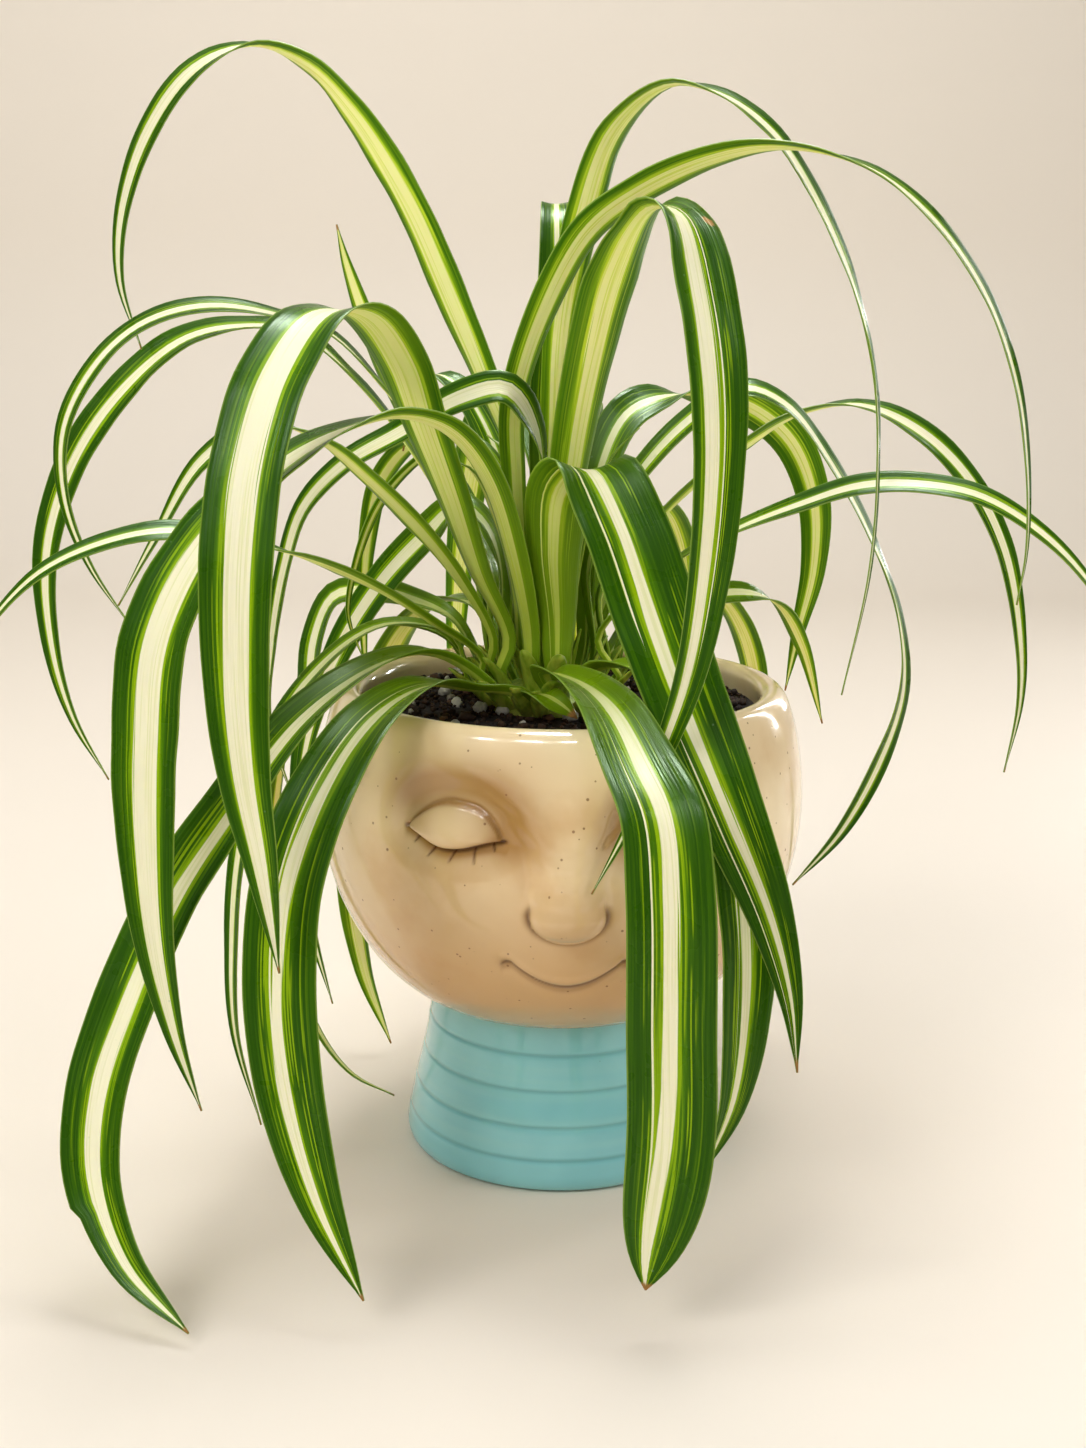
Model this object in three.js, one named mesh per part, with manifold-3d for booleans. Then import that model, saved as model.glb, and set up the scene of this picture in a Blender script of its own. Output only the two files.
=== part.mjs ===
// Potted spider plant: a glazed face bowl on a ringed neck, filled with soil, with a rosette of
// long arching striped leaves growing from a crown in its middle.
// Millimetres, +Z up. The origin is the centre of the neck's flat underside; the face looks to -Y.
import * as THREE from "three";
import { mergeVertices } from "three/addons/utils/BufferGeometryUtils.js";
import Module from "manifold-3d";

const wasm = await Module();
wasm.setup();

// ---- driving dimensions -------------------------------------------------------------------

const seat = 0.3; // clearance between pieces that rest on or in one another

const neck = {
  height: 52,
  wall: 6,
  floor: 6,
  segments: 44,
  rings: 30,
  flare: 2, // how much wider the inside is near its floor
  fillet: 6, // height of the slope between the inside and its floor
  grooves: [10.4, 20.3, 31, 42], // heights of the soft rings pressed into the wall
  grooveDepth: 0.9,
  grooveWidth: 1.5,
  // radius and height of the outer wall, from the foot up
  outline: [
    [46.5, 0], [48.7, 1.2], [49.6, 4], [49.1, 8], [46.6, 20.3], [44, 31], [42, 42], [40.6, 52],
  ],
};

const bowl = {
  floor: 9, // thickness under the soil
  rings: 27,
  // radius and height of the outer wall, from the joint with the neck to the crest of the lip
  outline: [
    [44.9, 52.3], [50.5, 56], [57.5, 62.5], [63.5, 70.5], [68.6, 80], [72.6, 90.5], [75.2, 102],
    [76.2, 114], [75.7, 125], [73.9, 136], [71.4, 144.5], [69.2, 148.4], [66.3, 150],
  ],
  // radius and height of the inside, from the crest of the lip down
  inside: [
    [63.4, 149], [62, 146.5], [62.6, 140], [65.6, 125], [66.2, 110], [62, 90], [50, 72], [34, 62],
  ],
};

// The sleeping face, laid out by angle round the bowl and by height.
const face = {
  turn: 1.2, // degrees that the face is turned to the right
  scale: 74, // radius at which angles become millimetres across
  lid: { angle: 27, height: 119.5, halfWidth: 16.5, up: 9.5, down: 6, rise: 4.6 },
  socket: { angle: 25, height: 130, halfWidth: 21, halfHeight: 12, depth: 3.2 },
  nose: { height: 98, halfWidth: 11.2, halfHeight: 8.4, rise: 9.6 },
  bridge: { low: 98, high: 134, halfWidth: 9, rise: 6 },
  cheek: { angle: 31, height: 92, halfWidth: 22, halfHeight: 17, rise: 1.6 },
};

const soil = {
  level: 143,
  edge: { radius: 62.2, below: 0.5 }, // where the soil meets the bowl, before the inset
  mound: { radius: 48, rise: 0.8 },
  flat: 36, // radius of the flat middle
  inset: 0.8,
  segments: 40,
  lumps: 44,
  lumpRadius: [1.4, 2.8],
  lumpWidth: [0.8, 1.2], // across, as shares of the length
  lumpHeight: 0.75,
  lumpRise: 0.4,
  lumpLift: 0.15, // further rise, as a share of the radius
  lumpsFrom: 31,
  lumpsTo: 57,
};

// Every leaf starts on a low dome, pointing straight out of it, so no two cross at their roots.
const crown = { x: -3, y: 2, z: 122, radius: 30, foot: 136, segments: 32, from: 45, step: 9 };

const blade = {
  thickness: 0.8,
  step: 22, // length of one section
  lastStep: 0.4, // share of a section that rounds off the tip
  fewest: 8,
  most: 16,
  tipWidth: 1.1,
  widest: 0.42, // where the blade is widest, as a share of its length
  root: 0.34,
  point: 1.7,
  ease: 0.03, // share of the length over which a turn is smoothed
  stem: 8, // length that grows straight out of the crown
  fold: [34, 10], // slope of the channel at the root and beyond, degrees
  foldReach: 0.35,
};

const colors = {
  cream: 0xdec496,
  turquoise: 0x86bdb9,
  soil: 0x2b2018,
  crown: 0xb9bf76,
  leaf: 0x6f9a2e,
};

// ---- leaves -------------------------------------------------------------------------------
// from:  compass angle and steepness at the root, degrees (0 is +X, 90 is +Y, the back)
// width: greatest width of the blade
// path:  places of the midrib from the crown to the tip
// side:  direction of the blade's left edge at equal steps along it, as compass angle and rise
// turn:  pairs of a share of the length and the blade's turn there, degrees: 0 shows its upper face
//        to a viewer in front of the pot, 180 its lower face, and 90 brings its left edge forward
//        with neither, the blade faces the way it grows
// point: how full the outer half of the blade is, 1.2 for a long fine tip to 4 for a blunt one
// root:  width at the root as a share of the greatest width
// widest: share of the length at which the blade is widest

const leaves = [
  // front, hanging over the lip
  { name: "leaf_front_left_low", from: [226, 47], width: 18.5, widest: 0.55, point: 3.6,
    side: [[316, 0], [330, 0], [350, 0], [360, 0]],
    path: [[-37, -19, 161], [-52, -36, 163], [-75, -56, 150], [-94, -68, 126], [-108, -76, 105],
           [-119, -88, 80], [-126, -99, 57], [-126, -109, 35], [-116, -121, 17], [-97, -133, 4]] },
  { name: "leaf_front_left", from: [249, 46], width: 20.5, widest: 0.55, point: 3,
    side: [[339, 0], [345, 0], [355, 0], [360, 0]],
    path: [[-29, -24, 152], [-41, -44, 157], [-54, -66, 152], [-65, -84, 137], [-73, -95, 115],
           [-75, -103, 90], [-72, -110, 62], [-64, -118, 34], [-52, -127, 10]] },
  { name: "leaf_front_centre", from: [272, 50], width: 24, widest: 0.62, point: 7,
    side: [[362, 0], [360, 0]],
    path: [[-5, -26, 157], [4, -48, 159.5], [13, -71, 156], [20, -92, 146], [25.5, -104, 135],
           [27.5, -111, 115], [28, -115, 84], [28, -120, 50], [22, -126, 13]] },
  { name: "leaf_front_stub", from: [261, 45], width: 9, point: 2.6,
    path: [[-8, -29, 152], [-4, -33, 152], [1, -35.5, 149.5], [4.5, -36, 146.3]] },
  { name: "leaf_front_right_low", from: [297, 46], width: 19, point: 3.5,
    path: [[11, -28, 159], [26, -44, 161], [36, -58, 153], [47, -69, 126], [51, -76, 98],
           [51, -82, 74], [48, -87, 49], [40, -91, 29]] },
  { name: "leaf_front_right", from: [276, 64], width: 25, root: 0.26, point: 2.2,
    side: [[366, 0], [366, 0], [362, 0], [358, 0]],
    path: [[-1, -12, 172], [-2, -18, 194], [0, -26, 212], [8, -37, 219], [17, -46.5, 204],
           [26.5, -55, 178], [35.5, -63.5, 154.5], [47, -76, 127], [57, -82, 102], [63, -87, 79],
           [65, -91, 59]] },

  // left side
  { name: "leaf_left_broad", from: [213, 58], width: 20.5, root: 0.26, widest: 0.5, point: 3,
    side: [[306, 0], [330, 0], [350, 0], [360, 0], [360, 0]],
    path: [[-17.5, -7, 164], [-26.5, -10, 185], [-34, -14, 208], [-42, -19, 231], [-47, -27, 248],
           [-55, -40, 261], [-66, -57, 262], [-76, -73, 247], [-82, -86, 224], [-84, -96, 199],
           [-84, -102, 171], [-82, -106, 146], [-78, -109, 123], [-74, -111, 95]] },
  { name: "leaf_left_long", from: [243, 66], width: 23, root: 0.26, widest: 0.55, point: 1.7,
    turn: [[0, 148], [0.12, 130], [0.28, 115], [0.35, 90], [0.42, 70], [0.54, 40], [0.65, 20],
           [0.8, 0], [1, 0]],
    path: [[-11, -11, 168], [-16, -17, 193], [-23, -24, 215], [-33, -34, 229], [-46, -45, 234],
           [-60, -54, 231], [-75, -61, 223], [-89, -67, 211], [-102, -72, 194], [-110, -77, 174],
           [-112, -83, 150], [-112, -89, 124], [-110, -94, 98], [-105, -98, 73], [-98, -100, 51]] },
  { name: "leaf_left_reach", from: [205, 47], width: 9.5,
    turn: [[0, 108], [0.15, 118], [0.38, 120], [0.55, 60], [0.7, 45], [1, 40]],
    path: [[-25, -8, 158], [-40, -15, 171], [-57, -22, 183], [-77, -30, 193], [-96, -38, 199],
           [-113, -44, 202], [-130, -49, 199], [-147, -53, 191], [-160, -56, 178], [-172, -58, 159]] },
  { name: "leaf_left_olive", from: [198, 56], width: 10,
    side: [[293, 0], [325, 0], [330, -20], [320, 0]],
    path: [[-22, -6, 164], [-31, -10, 182], [-43, -15, 199], [-57, -20, 214], [-71, -25, 226],
           [-86, -28, 231], [-104, -29, 221], [-119, -29, 198], [-131, -28, 178]] },
  { name: "leaf_left_high", from: [178, 61], width: 10, point: 2.1,
    turn: [[0, 90], [0.25, 110], [0.5, 75], [0.6, 55], [0.75, 35], [1, 25]],
    path: [[-25, 4, 188], [-41, 5, 221], [-56, 6, 241], [-71, 6, 256], [-89, 5, 262],
           [-108, 3, 264], [-126, 0, 259], [-140, -3, 247], [-150, -6, 228], [-150, -9, 207],
           [-143, -12, 188], [-131, -15, 170]] },
  { name: "leaf_left_high_outer", from: [162, 57], width: 13.5, point: 2.1,
    turn: [[0, 75], [0.2, 100], [0.42, 80], [0.5, 60], [0.58, 35], [0.7, 15], [1, 10]],
    path: [[-29, 10, 187], [-48, 14, 221], [-66, 17, 243], [-82, 19, 256], [-100, 20, 258],
           [-118, 20, 254], [-138, 18, 238], [-154, 15, 215], [-162, 11, 189], [-161, 6, 161],
           [-154, 0, 138], [-142, -6, 119]] },
  { name: "leaf_left_tallest", from: [155, 70], width: 13, root: 0.3, point: 2,
    turn: [[0, 60], [0.2, 120], [0.35, 145], [0.52, 140], [0.6, 120], [0.66, 90], [0.7, 50],
           [0.76, 20], [1, 10]],
    path: [[-16, 8, 218], [-23, 8, 239], [-33, 11, 263], [-48, 15, 296], [-65, 19, 322],
           [-78, 22, 335], [-95, 25, 341], [-113, 26, 334], [-127, 26, 317], [-136, 24, 293],
           [-137, 20, 272], [-130, 14, 251]] },
  { name: "leaf_left_thin", from: [225, 82], width: 10.5,
    turn: [[0, 135], [0.2, 110], [0.3, 60], [0.35, 15], [0.45, 45], [0.6, 50], [1, 35]],
    path: [[-6, -5, 210], [-9, -8, 230], [-17, -13, 241], [-31, -11, 238], [-48, -5, 228],
           [-67, -4, 217], [-79, -4, 204], [-85, -4, 187], [-90, -2, 163], [-92, 0, 137],
           [-85, 0, 111]] },
  { name: "leaf_left_wisp", from: [132, 68], width: 6, root: 0.5,
    path: [[-16, 13, 198], [-21, 17, 217], [-31, 21, 224], [-45, 25, 217], [-58, 26, 203],
           [-66, 26, 184], [-69, 24, 167], [-66, 23, 157], [-63, 21, 151]] },
  { name: "leaf_left_inside", from: [147, 46], width: 12,
    side: [[237, 0], [290, -30], [320, 0], [340, 0], [340, 0]],
    path: [[-35, 24, 165], [-51, 37, 170], [-66, 47, 171], [-77, 52, 168], [-84, 53, 153],
           [-86, 52, 132], [-89, 48, 101], [-90, 44, 81], [-86, 38, 57], [-78, 32, 29]] },
  { name: "leaf_left_rear", from: [143, 58], width: 14, root: 0.3,
    turn: [[0, 59], [0.2, 75], [0.3, 70], [0.42, 40], [1, 25]],
    path: [[-20, 18, 184], [-25, 22, 197], [-33, 25, 202], [-43, 29, 193], [-57, 32, 178],
           [-70, 33, 159], [-80, 33, 137], [-86, 32, 114], [-89, 31, 90]] },
  { name: "leaf_left_drop", from: [180, 46], width: 9,
    side: [[270, 0], [290, -20], [320, 0], [340, 0]],
    path: [[-34, 4, 163], [-56, 2, 167], [-78, -8, 152], [-92, -20, 128], [-98, -28, 102],
           [-100, -34, 76], [-99, -40, 49], [-91, -46, 21]] },
  { name: "leaf_left_hook", from: [163, 46], width: 9,
    path: [[-38, 12, 162], [-62, 14, 164], [-82, 9, 144], [-91, 4, 110], [-89, 2, 70],
           [-81, 2, 36], [-69, 4, 16], [-55, 8, 6]] },
  { name: "leaf_left_pointed", from: [127, 53], width: 13, root: 0.28, point: 2.4,
    side: [[218, 0], [300, 0], [340, 0]],
    path: [[-24.5, 28, 184.5], [-37, 40, 207], [-51, 45, 229], [-62, 48, 254], [-70, 50, 277],
           [-73, 50, 290]] },

  // back
  { name: "leaf_back_left_low", from: [130, 46], width: 15, point: 2.8,
    path: [[-26, 36, 166], [-42, 52, 166], [-58, 64, 148], [-69, 68, 106], [-74, 66, 66],
           [-70, 60, 32], [-60, 54, 5]] },
  { name: "leaf_back_curl", from: [109, 59], width: 14, root: 0.3,
    path: [[-16, 42, 193], [-23, 52, 221], [-34, 58, 238], [-43, 62, 242], [-50, 66, 235],
           [-54, 69, 216]] },
  { name: "leaf_back_left", from: [114, 47], width: 10,
    path: [[-20, 38, 172], [-36, 56, 205], [-50, 70, 218], [-62, 76, 206], [-68, 80, 182],
           [-70, 82, 154], [-69, 82, 128]] },
  { name: "leaf_back_upright", from: [101, 66], width: 13.5, root: 0.3,
    path: [[-5, 19, 188], [-4, 23, 236], [-2, 26, 273], [-2, 31, 290], [-2, 41, 296],
           [-1, 53, 284], [0, 61, 262], [0, 65, 236]] },
  { name: "leaf_back_long", from: [83, 47], width: 17,
    path: [[4, 45, 190], [8, 80, 200], [10, 112, 180], [10, 132, 140], [8, 140, 95], [5, 138, 52],
           [3, 132, 22]] },
  { name: "leaf_back_left_high", from: [90, 57], width: 16,
    path: [[-4, 46, 212], [-16, 80, 238], [-28, 108, 222], [-36, 128, 184], [-40, 137, 134],
           [-40, 136, 88]] },
  { name: "leaf_back_right", from: [67, 47], width: 17,
    path: [[20, 46, 184], [32, 78, 196], [42, 106, 180], [48, 122, 140], [48, 126, 95],
           [45, 124, 55], [42, 118, 32]] },
  { name: "leaf_back_right_low", from: [51, 46], width: 12,
    path: [[28, 38, 166], [50, 60, 170], [66, 80, 150], [74, 90, 110], [74, 92, 70], [70, 88, 35]] },
  { name: "leaf_back_low", from: [99, 46], width: 12,
    path: [[-12, 48, 166], [-18, 76, 160], [-22, 98, 130], [-24, 106, 90], [-24, 104, 55]] },
  { name: "leaf_back_tall", from: [76, 67], width: 13,
    path: [[3, 30, 205], [7, 58, 230], [9, 90, 226], [11, 118, 200], [11, 136, 158], [10, 142, 118]] },

  // right side
  { name: "leaf_right_fold", from: [300, 78], width: 20, root: 0.28, point: 1.45,
    turn: [[0, -150], [0.3, -145], [0.38, -140], [0.43, -90], [0.47, -40], [0.55, -20], [0.7, -10],
           [0.85, 10], [1, 25]],
    path: [[-1, -8, 183], [3, -12, 217], [8, -19, 247], [15, -30, 275], [23, -41, 290],
           [31, -54, 288], [37, -65, 266], [40, -73, 241], [40, -75.5, 215], [38, -74.5, 189],
           [34.5, -74, 168], [29, -73.5, 150], [19.5, -76.5, 128], [8, -81, 107]] },
  { name: "leaf_right_tallest", from: [90, 84], width: 12.5, point: 1.4,
    turn: [[0, -165], [0.35, -155], [0.42, -140], [0.48, -90], [0.52, -65], [0.6, -58],
           [0.68, -66], [0.75, -76], [1, -60]],
    path: [[-3, 8, 193], [-2, 9, 227], [0, 9, 261], [6, 7, 290], [15, 4, 315], [30, -1, 327],
           [45, -6, 324], [60, -10, 313], [73, -15, 293], [83, -21, 270], [89, -27, 244],
           [90, -33, 216], [88, -37, 188], [81, -42, 155]] },
  { name: "leaf_right_arch", from: [178, 80], width: 12.5,
    turn: [[0, -165], [0.25, -138], [0.37, -140], [0.48, -127], [0.58, -90], [0.63, -68],
           [0.72, -60], [1, -50]],
    path: [[-14, -1, 213], [-14, -3, 237], [-6, -7, 263], [7, -11, 286], [22, -15, 297],
           [41, -20, 305], [60, -25, 308], [82, -31, 303], [99, -36, 291], [115, -41, 270],
           [125, -45, 245], [129, -48, 221], [130, -49, 198], [128, -50, 183]] },
  { name: "leaf_right_mid", from: [14, 68], width: 10, point: 4,
    turn: [[0, -77], [0.25, -40], [0.4, -62], [0.65, -75], [0.76, -60], [0.86, -20], [1, 0]],
    path: [[9, 4, 188], [24, 8, 214], [39, 10, 230], [55, 11, 240], [69, 11, 235], [83, 11, 218],
           [97, 11, 194], [107, 11, 168], [109, 9, 146], [102, 4, 124], [89, -5, 103],
           [73, -14, 88]] },
  { name: "leaf_right_high", from: [30, 56], width: 11, point: 2.1,
    turn: [[0, -66], [0.2, -105], [0.35, -118], [0.47, -92], [0.52, -55], [0.6, -38], [0.75, -30],
           [1, -30]],
    path: [[13, 12, 176], [28, 18, 195], [44, 23, 210], [60, 27, 222], [76, 30, 231],
           [95, 32, 234], [115, 33, 226], [132, 32, 210], [144, 30, 188], [150, 28, 162],
           [151, 25, 139], [146, 20, 116]] },
  { name: "leaf_right_reach", from: [338, 52], width: 8.5,
    side: [[68, 0], [60, 20], [75, 45], [75, 50], [65, 40]],
    path: [[12, -5, 164], [24, -9, 180], [38, -13, 192], [54, -17, 201], [70, -21, 208],
           [87, -25, 214], [103, -29, 215], [120, -33, 212], [137, -37, 202], [151, -40, 188],
           [163, -43, 169], [170, -45, 146]] },
  { name: "leaf_right_rear", from: [46, 66], width: 14, point: 2.6,
    turn: [[0, -47], [0.15, -40], [0.28, -25], [0.38, -25], [0.44, -90], [0.5, -150], [0.6, -170],
           [1, -175]],
    path: [[9, 18, 190], [13, 24, 216], [22, 32, 232], [42, 42, 237], [61, 50, 233], [77, 56, 221],
           [86, 60, 201], [87, 62, 177], [83, 63, 156], [79, 63, 134]] },
  { name: "leaf_right_small", from: [33, 46], width: 8, point: 2.4,
    turn: [[0, -66], [0.3, -40], [0.5, -30], [0.6, -95], [0.7, -150], [1, -165]],
    path: [[20, 20, 158], [36, 30, 168], [58, 42, 172], [73, 50, 167], [83, 56, 152], [92, 60, 123]] },

  // young leaves in the middle
  { name: "leaf_young_left", from: [205, 73], width: 8,
    path: [[-15, -4, 182], [-21, -6, 203], [-28, -9, 217], [-37, -12, 220]] },
  { name: "leaf_young_back", from: [137, 78], width: 5,
    path: [[-9.5, 10, 190], [-12, 14, 206], [-17, 22, 219], [-24, 32, 224]] },
  { name: "leaf_young_right", from: [0, 80], width: 6.5,
    path: [[5, 1, 180], [9, 0, 202], [15, -2, 220], [23, -5, 229]] },
];

// ---- small helpers ------------------------------------------------------------------------

const degrees = Math.PI / 180;

function compass(angle, rise) {
  const flat = Math.cos(rise * degrees);
  return new THREE.Vector3(
    flat * Math.cos(angle * degrees), flat * Math.sin(angle * degrees), Math.sin(rise * degrees));
}

function seededRandom(seed) {
  let state = seed;
  return () => {
    state = (state * 1664525 + 1013904223) % 4294967296;
    return state / 4294967296;
  };
}

function piece(name, geometry, color, roughness) {
  const material = new THREE.MeshStandardMaterial({ color, roughness, metalness: 0 });
  const mesh = new THREE.Mesh(geometry, material);
  mesh.name = name;
  return mesh;
}

function geometryOf(positions, triangles) {
  const geometry = new THREE.BufferGeometry();
  geometry.setAttribute("position", new THREE.Float32BufferAttribute(positions, 3));
  geometry.setIndex(triangles);
  return geometry;
}

function toSolid(geometry) {
  const bare = geometry.clone();
  bare.deleteAttribute("normal");
  bare.deleteAttribute("uv");
  const merged = mergeVertices(bare, 1e-4);
  return new wasm.Manifold(new wasm.Mesh({
    numProp: 3,
    vertProperties: new Float32Array(merged.attributes.position.array),
    triVerts: new Uint32Array(merged.index.array),
  }));
}

function fromSolid(solid) {
  const mesh = solid.getMesh();
  return geometryOf(Array.from(mesh.vertProperties), Array.from(mesh.triVerts));
}

// A body of revolution: the outline runs from the axis below, up the outside and back to the
// axis, and shift moves a point of it in or out by its angle and height.
function revolved(outline, angles, shift = () => 0) {
  const positions = [];
  const triangles = [];
  const around = angles.length;
  const [first, ...rest] = outline;
  const last = rest.pop();
  positions.push(0, 0, first[1]);
  for (const [radius, z, outer] of rest) {
    for (const angle of angles) {
      const r = radius + (outer ? shift(angle, z) : 0);
      positions.push(r * Math.sin(angle), -r * Math.cos(angle), z);
    }
  }
  positions.push(0, 0, last[1]);
  const at = (ring, k) => 1 + ring * around + (k % around);
  const top = 1 + rest.length * around;
  for (let k = 0; k < around; k += 1) {
    triangles.push(0, at(0, k + 1), at(0, k));
    for (let ring = 0; ring + 1 < rest.length; ring += 1) {
      triangles.push(at(ring, k), at(ring, k + 1), at(ring + 1, k + 1));
      triangles.push(at(ring, k), at(ring + 1, k + 1), at(ring + 1, k));
    }
    triangles.push(top, at(rest.length - 1, k), at(rest.length - 1, k + 1));
  }
  return geometryOf(positions, triangles);
}

function evenAngles(count) {
  return Array.from({ length: count }, (_, k) => (2 * Math.PI * k) / count);
}

// ---- neck and bowl ------------------------------------------------------------------------

function neckBase() {
  const wall = new THREE.SplineCurve(neck.outline.map(([r, z]) => new THREE.Vector2(r, z)));
  const outer = wall.getSpacedPoints(neck.rings).map((point) => {
    const pressed = neck.grooves.reduce(
      (sum, z) => sum + Math.exp(-(((point.y - z) / neck.grooveWidth) ** 2)), 0);
    return [point.x - neck.grooveDepth * pressed, point.y];
  });
  const inside = neck.outline[neck.outline.length - 1][0] - neck.wall;
  const outline = [
    [0, 0], ...outer, [inside, neck.height], [inside + neck.flare, neck.floor + neck.fillet],
    [inside - neck.flare, neck.floor], [0, neck.floor],
  ];
  return piece("neck_base", revolved(outline, evenAngles(neck.segments)), colors.turquoise, 0.2);
}

function bump(x, y) {
  return Math.exp(-(x * x) - y * y);
}

function roundTop(x, y) {
  return Math.max(0, 1 - x * x - y * y) ** 0.7;
}

// How far the face stands out of the bowl, or is sunk into it, at an angle and a height.
function faceRelief(angle, z) {
  const turned = Math.atan2(Math.sin(angle), Math.cos(angle)) / degrees - face.turn;
  const across = (centre) => (Math.abs(turned) - centre) * degrees * face.scale;
  const middle = turned * degrees * face.scale;
  const { lid, socket, nose, bridge, cheek } = face;
  const lidHalf = z > lid.height ? lid.up : lid.down;
  const along = THREE.MathUtils.clamp((z - bridge.low) / (bridge.high - bridge.low), 0, 1);
  const ridgeHeight = z < bridge.low ? 0 : bridge.rise * (1 - along);
  const ridge = ridgeHeight * bump(middle / (bridge.halfWidth * (1 + along)), 0);
  const raised = Math.max(
    nose.rise * roundTop(middle / nose.halfWidth, (z - nose.height) / nose.halfHeight), ridge);
  const place = (part) => across(part.angle) / part.halfWidth;
  return raised
    + lid.rise * roundTop(place(lid), (z - lid.height) / lidHalf)
    - socket.depth * bump(place(socket), (z - socket.height) / socket.halfHeight)
    + cheek.rise * bump(place(cheek), (z - cheek.height) / cheek.halfHeight);
}

function bowlAngles() {
  const fine = 4;
  const half = 56;
  const coarse = 13.8;
  const angles = [];
  for (let a = -half; a < half; a += fine) angles.push(a * degrees);
  for (let a = half; a < 360 - half - 1; a += coarse) angles.push(a * degrees);
  return angles;
}

function headPot() {
  const wall = new THREE.SplineCurve(bowl.outline.map(([r, z]) => new THREE.Vector2(r, z)));
  const outer = wall.getSpacedPoints(bowl.rings).map((point) => [point.x, point.y, true]);
  const base = bowl.outline[0][1];
  const outline = [[0, base], ...outer, ...bowl.inside, [0, base + bowl.floor]];
  return piece("head_pot", revolved(outline, bowlAngles(), faceRelief), colors.cream, 0.2);
}

// ---- soil and crown -----------------------------------------------------------------------

function soilBody() {
  const under = bowl.inside.slice(2).reverse().map(([r, z]) => [r - soil.inset, z + seat]);
  const hole = crown.radius * Math.cos(crown.from * degrees) + seat;
  const top = soil.level;
  const outline = [
    [0, bowl.outline[0][1] + bowl.floor + seat], ...under,
    [soil.edge.radius - soil.inset, top - soil.edge.below],
    [soil.mound.radius, top + soil.mound.rise], [soil.flat, top], [0, top],
  ];
  let body = toSolid(revolved(outline, evenAngles(soil.segments)));
  // bark and perlite, half sunk, by seeded draws
  const random = seededRandom(7);
  const [small, large] = soil.lumpRadius;
  const [narrow, wide] = soil.lumpWidth;
  for (let k = 0; k < soil.lumps; k += 1) {
    const radius = small + (large - small) * random() ** 2;
    const out = Math.sqrt(soil.lumpsFrom ** 2 + random() * (soil.lumpsTo ** 2 - soil.lumpsFrom ** 2));
    const angle = random() * 2 * Math.PI;
    const lump = new THREE.IcosahedronGeometry(radius, 0);
    lump.rotateX(random() * 3);
    lump.rotateZ(random() * 3);
    lump.scale(1, narrow + (wide - narrow) * random(), soil.lumpHeight);
    const middle = top + soil.lumpRise + soil.lumpLift * radius;
    lump.translate(out * Math.cos(angle), out * Math.sin(angle), middle);
    body = body.add(toSolid(lump));
  }
  // the plain hole that the crown stands in
  const tall = 2 * (top - crown.foot);
  const socket = new THREE.CylinderGeometry(hole, hole, tall, crown.segments);
  socket.rotateX(90 * degrees);
  socket.translate(crown.x, crown.y, crown.foot - seat + tall / 2);
  body = body.subtract(toSolid(socket));
  return piece("soil", fromSolid(body), colors.soil, 0.95);
}

function crownBody() {
  const outline = [[0, crown.foot]];
  for (let rise = crown.from; rise < 90; rise += crown.step) {
    const ring = compass(0, rise).multiplyScalar(crown.radius);
    if (rise === crown.from) outline.push([ring.x, crown.foot]);
    outline.push([ring.x, crown.z + ring.z]);
  }
  outline.push([0, crown.z + crown.radius]);
  const geometry = revolved(outline, evenAngles(crown.segments));
  geometry.translate(crown.x, crown.y, 0);
  return piece("crown", geometry, colors.crown, 0.6);
}

// ---- leaf blades --------------------------------------------------------------------------

function lerpList(list, t) {
  const place = t * (list.length - 1);
  const k = Math.min(Math.floor(place), list.length - 2);
  return list[k].map((value, axis) => value + (list[k + 1][axis] - value) * (place - k));
}

function widthAt(leaf, t) {
  const widest = leaf.widest ?? blade.widest;
  const full = leaf.point ?? blade.point;
  const root = leaf.root ?? blade.root;
  const share = t < widest
    ? root + (1 - root) * Math.sin((t / widest) * 90 * degrees)
    : 1 - ((t - widest) / (1 - widest)) ** full;
  return Math.max(leaf.width * share, blade.tipWidth);
}

// The turn at a place, eased over the bends of its table.
function turnAt(table, t) {
  const read = (place) => {
    let k = 0;
    while (k < table.length - 2 && place > table[k + 1][0]) k += 1;
    const [start, end] = [table[k], table[k + 1]];
    const share = THREE.MathUtils.clamp((place - start[0]) / (end[0] - start[0]), 0, 1);
    return start[1] + (end[1] - start[1]) * share;
  };
  return (read(t - blade.ease) + read(t) + read(t + blade.ease)) / 3;
}

// The direction of the blade's left edge, square to the midrib.
function leftAt(leaf, t, along) {
  if (leaf.turn) {
    const top = new THREE.Vector3(0, -1, 0);
    top.addScaledVector(along, -top.dot(along)).normalize();
    const turn = turnAt(leaf.turn, t) * degrees;
    const left = top.clone().cross(along).multiplyScalar(Math.cos(turn));
    return left.addScaledVector(top, Math.sin(turn));
  }
  const sides = leaf.side ?? [[leaf.from[0] + 90, 0], [leaf.from[0] + 90, 0]];
  const left = compass(...lerpList(sides, t));
  return left.addScaledVector(along, -left.dot(along)).normalize();
}

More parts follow.
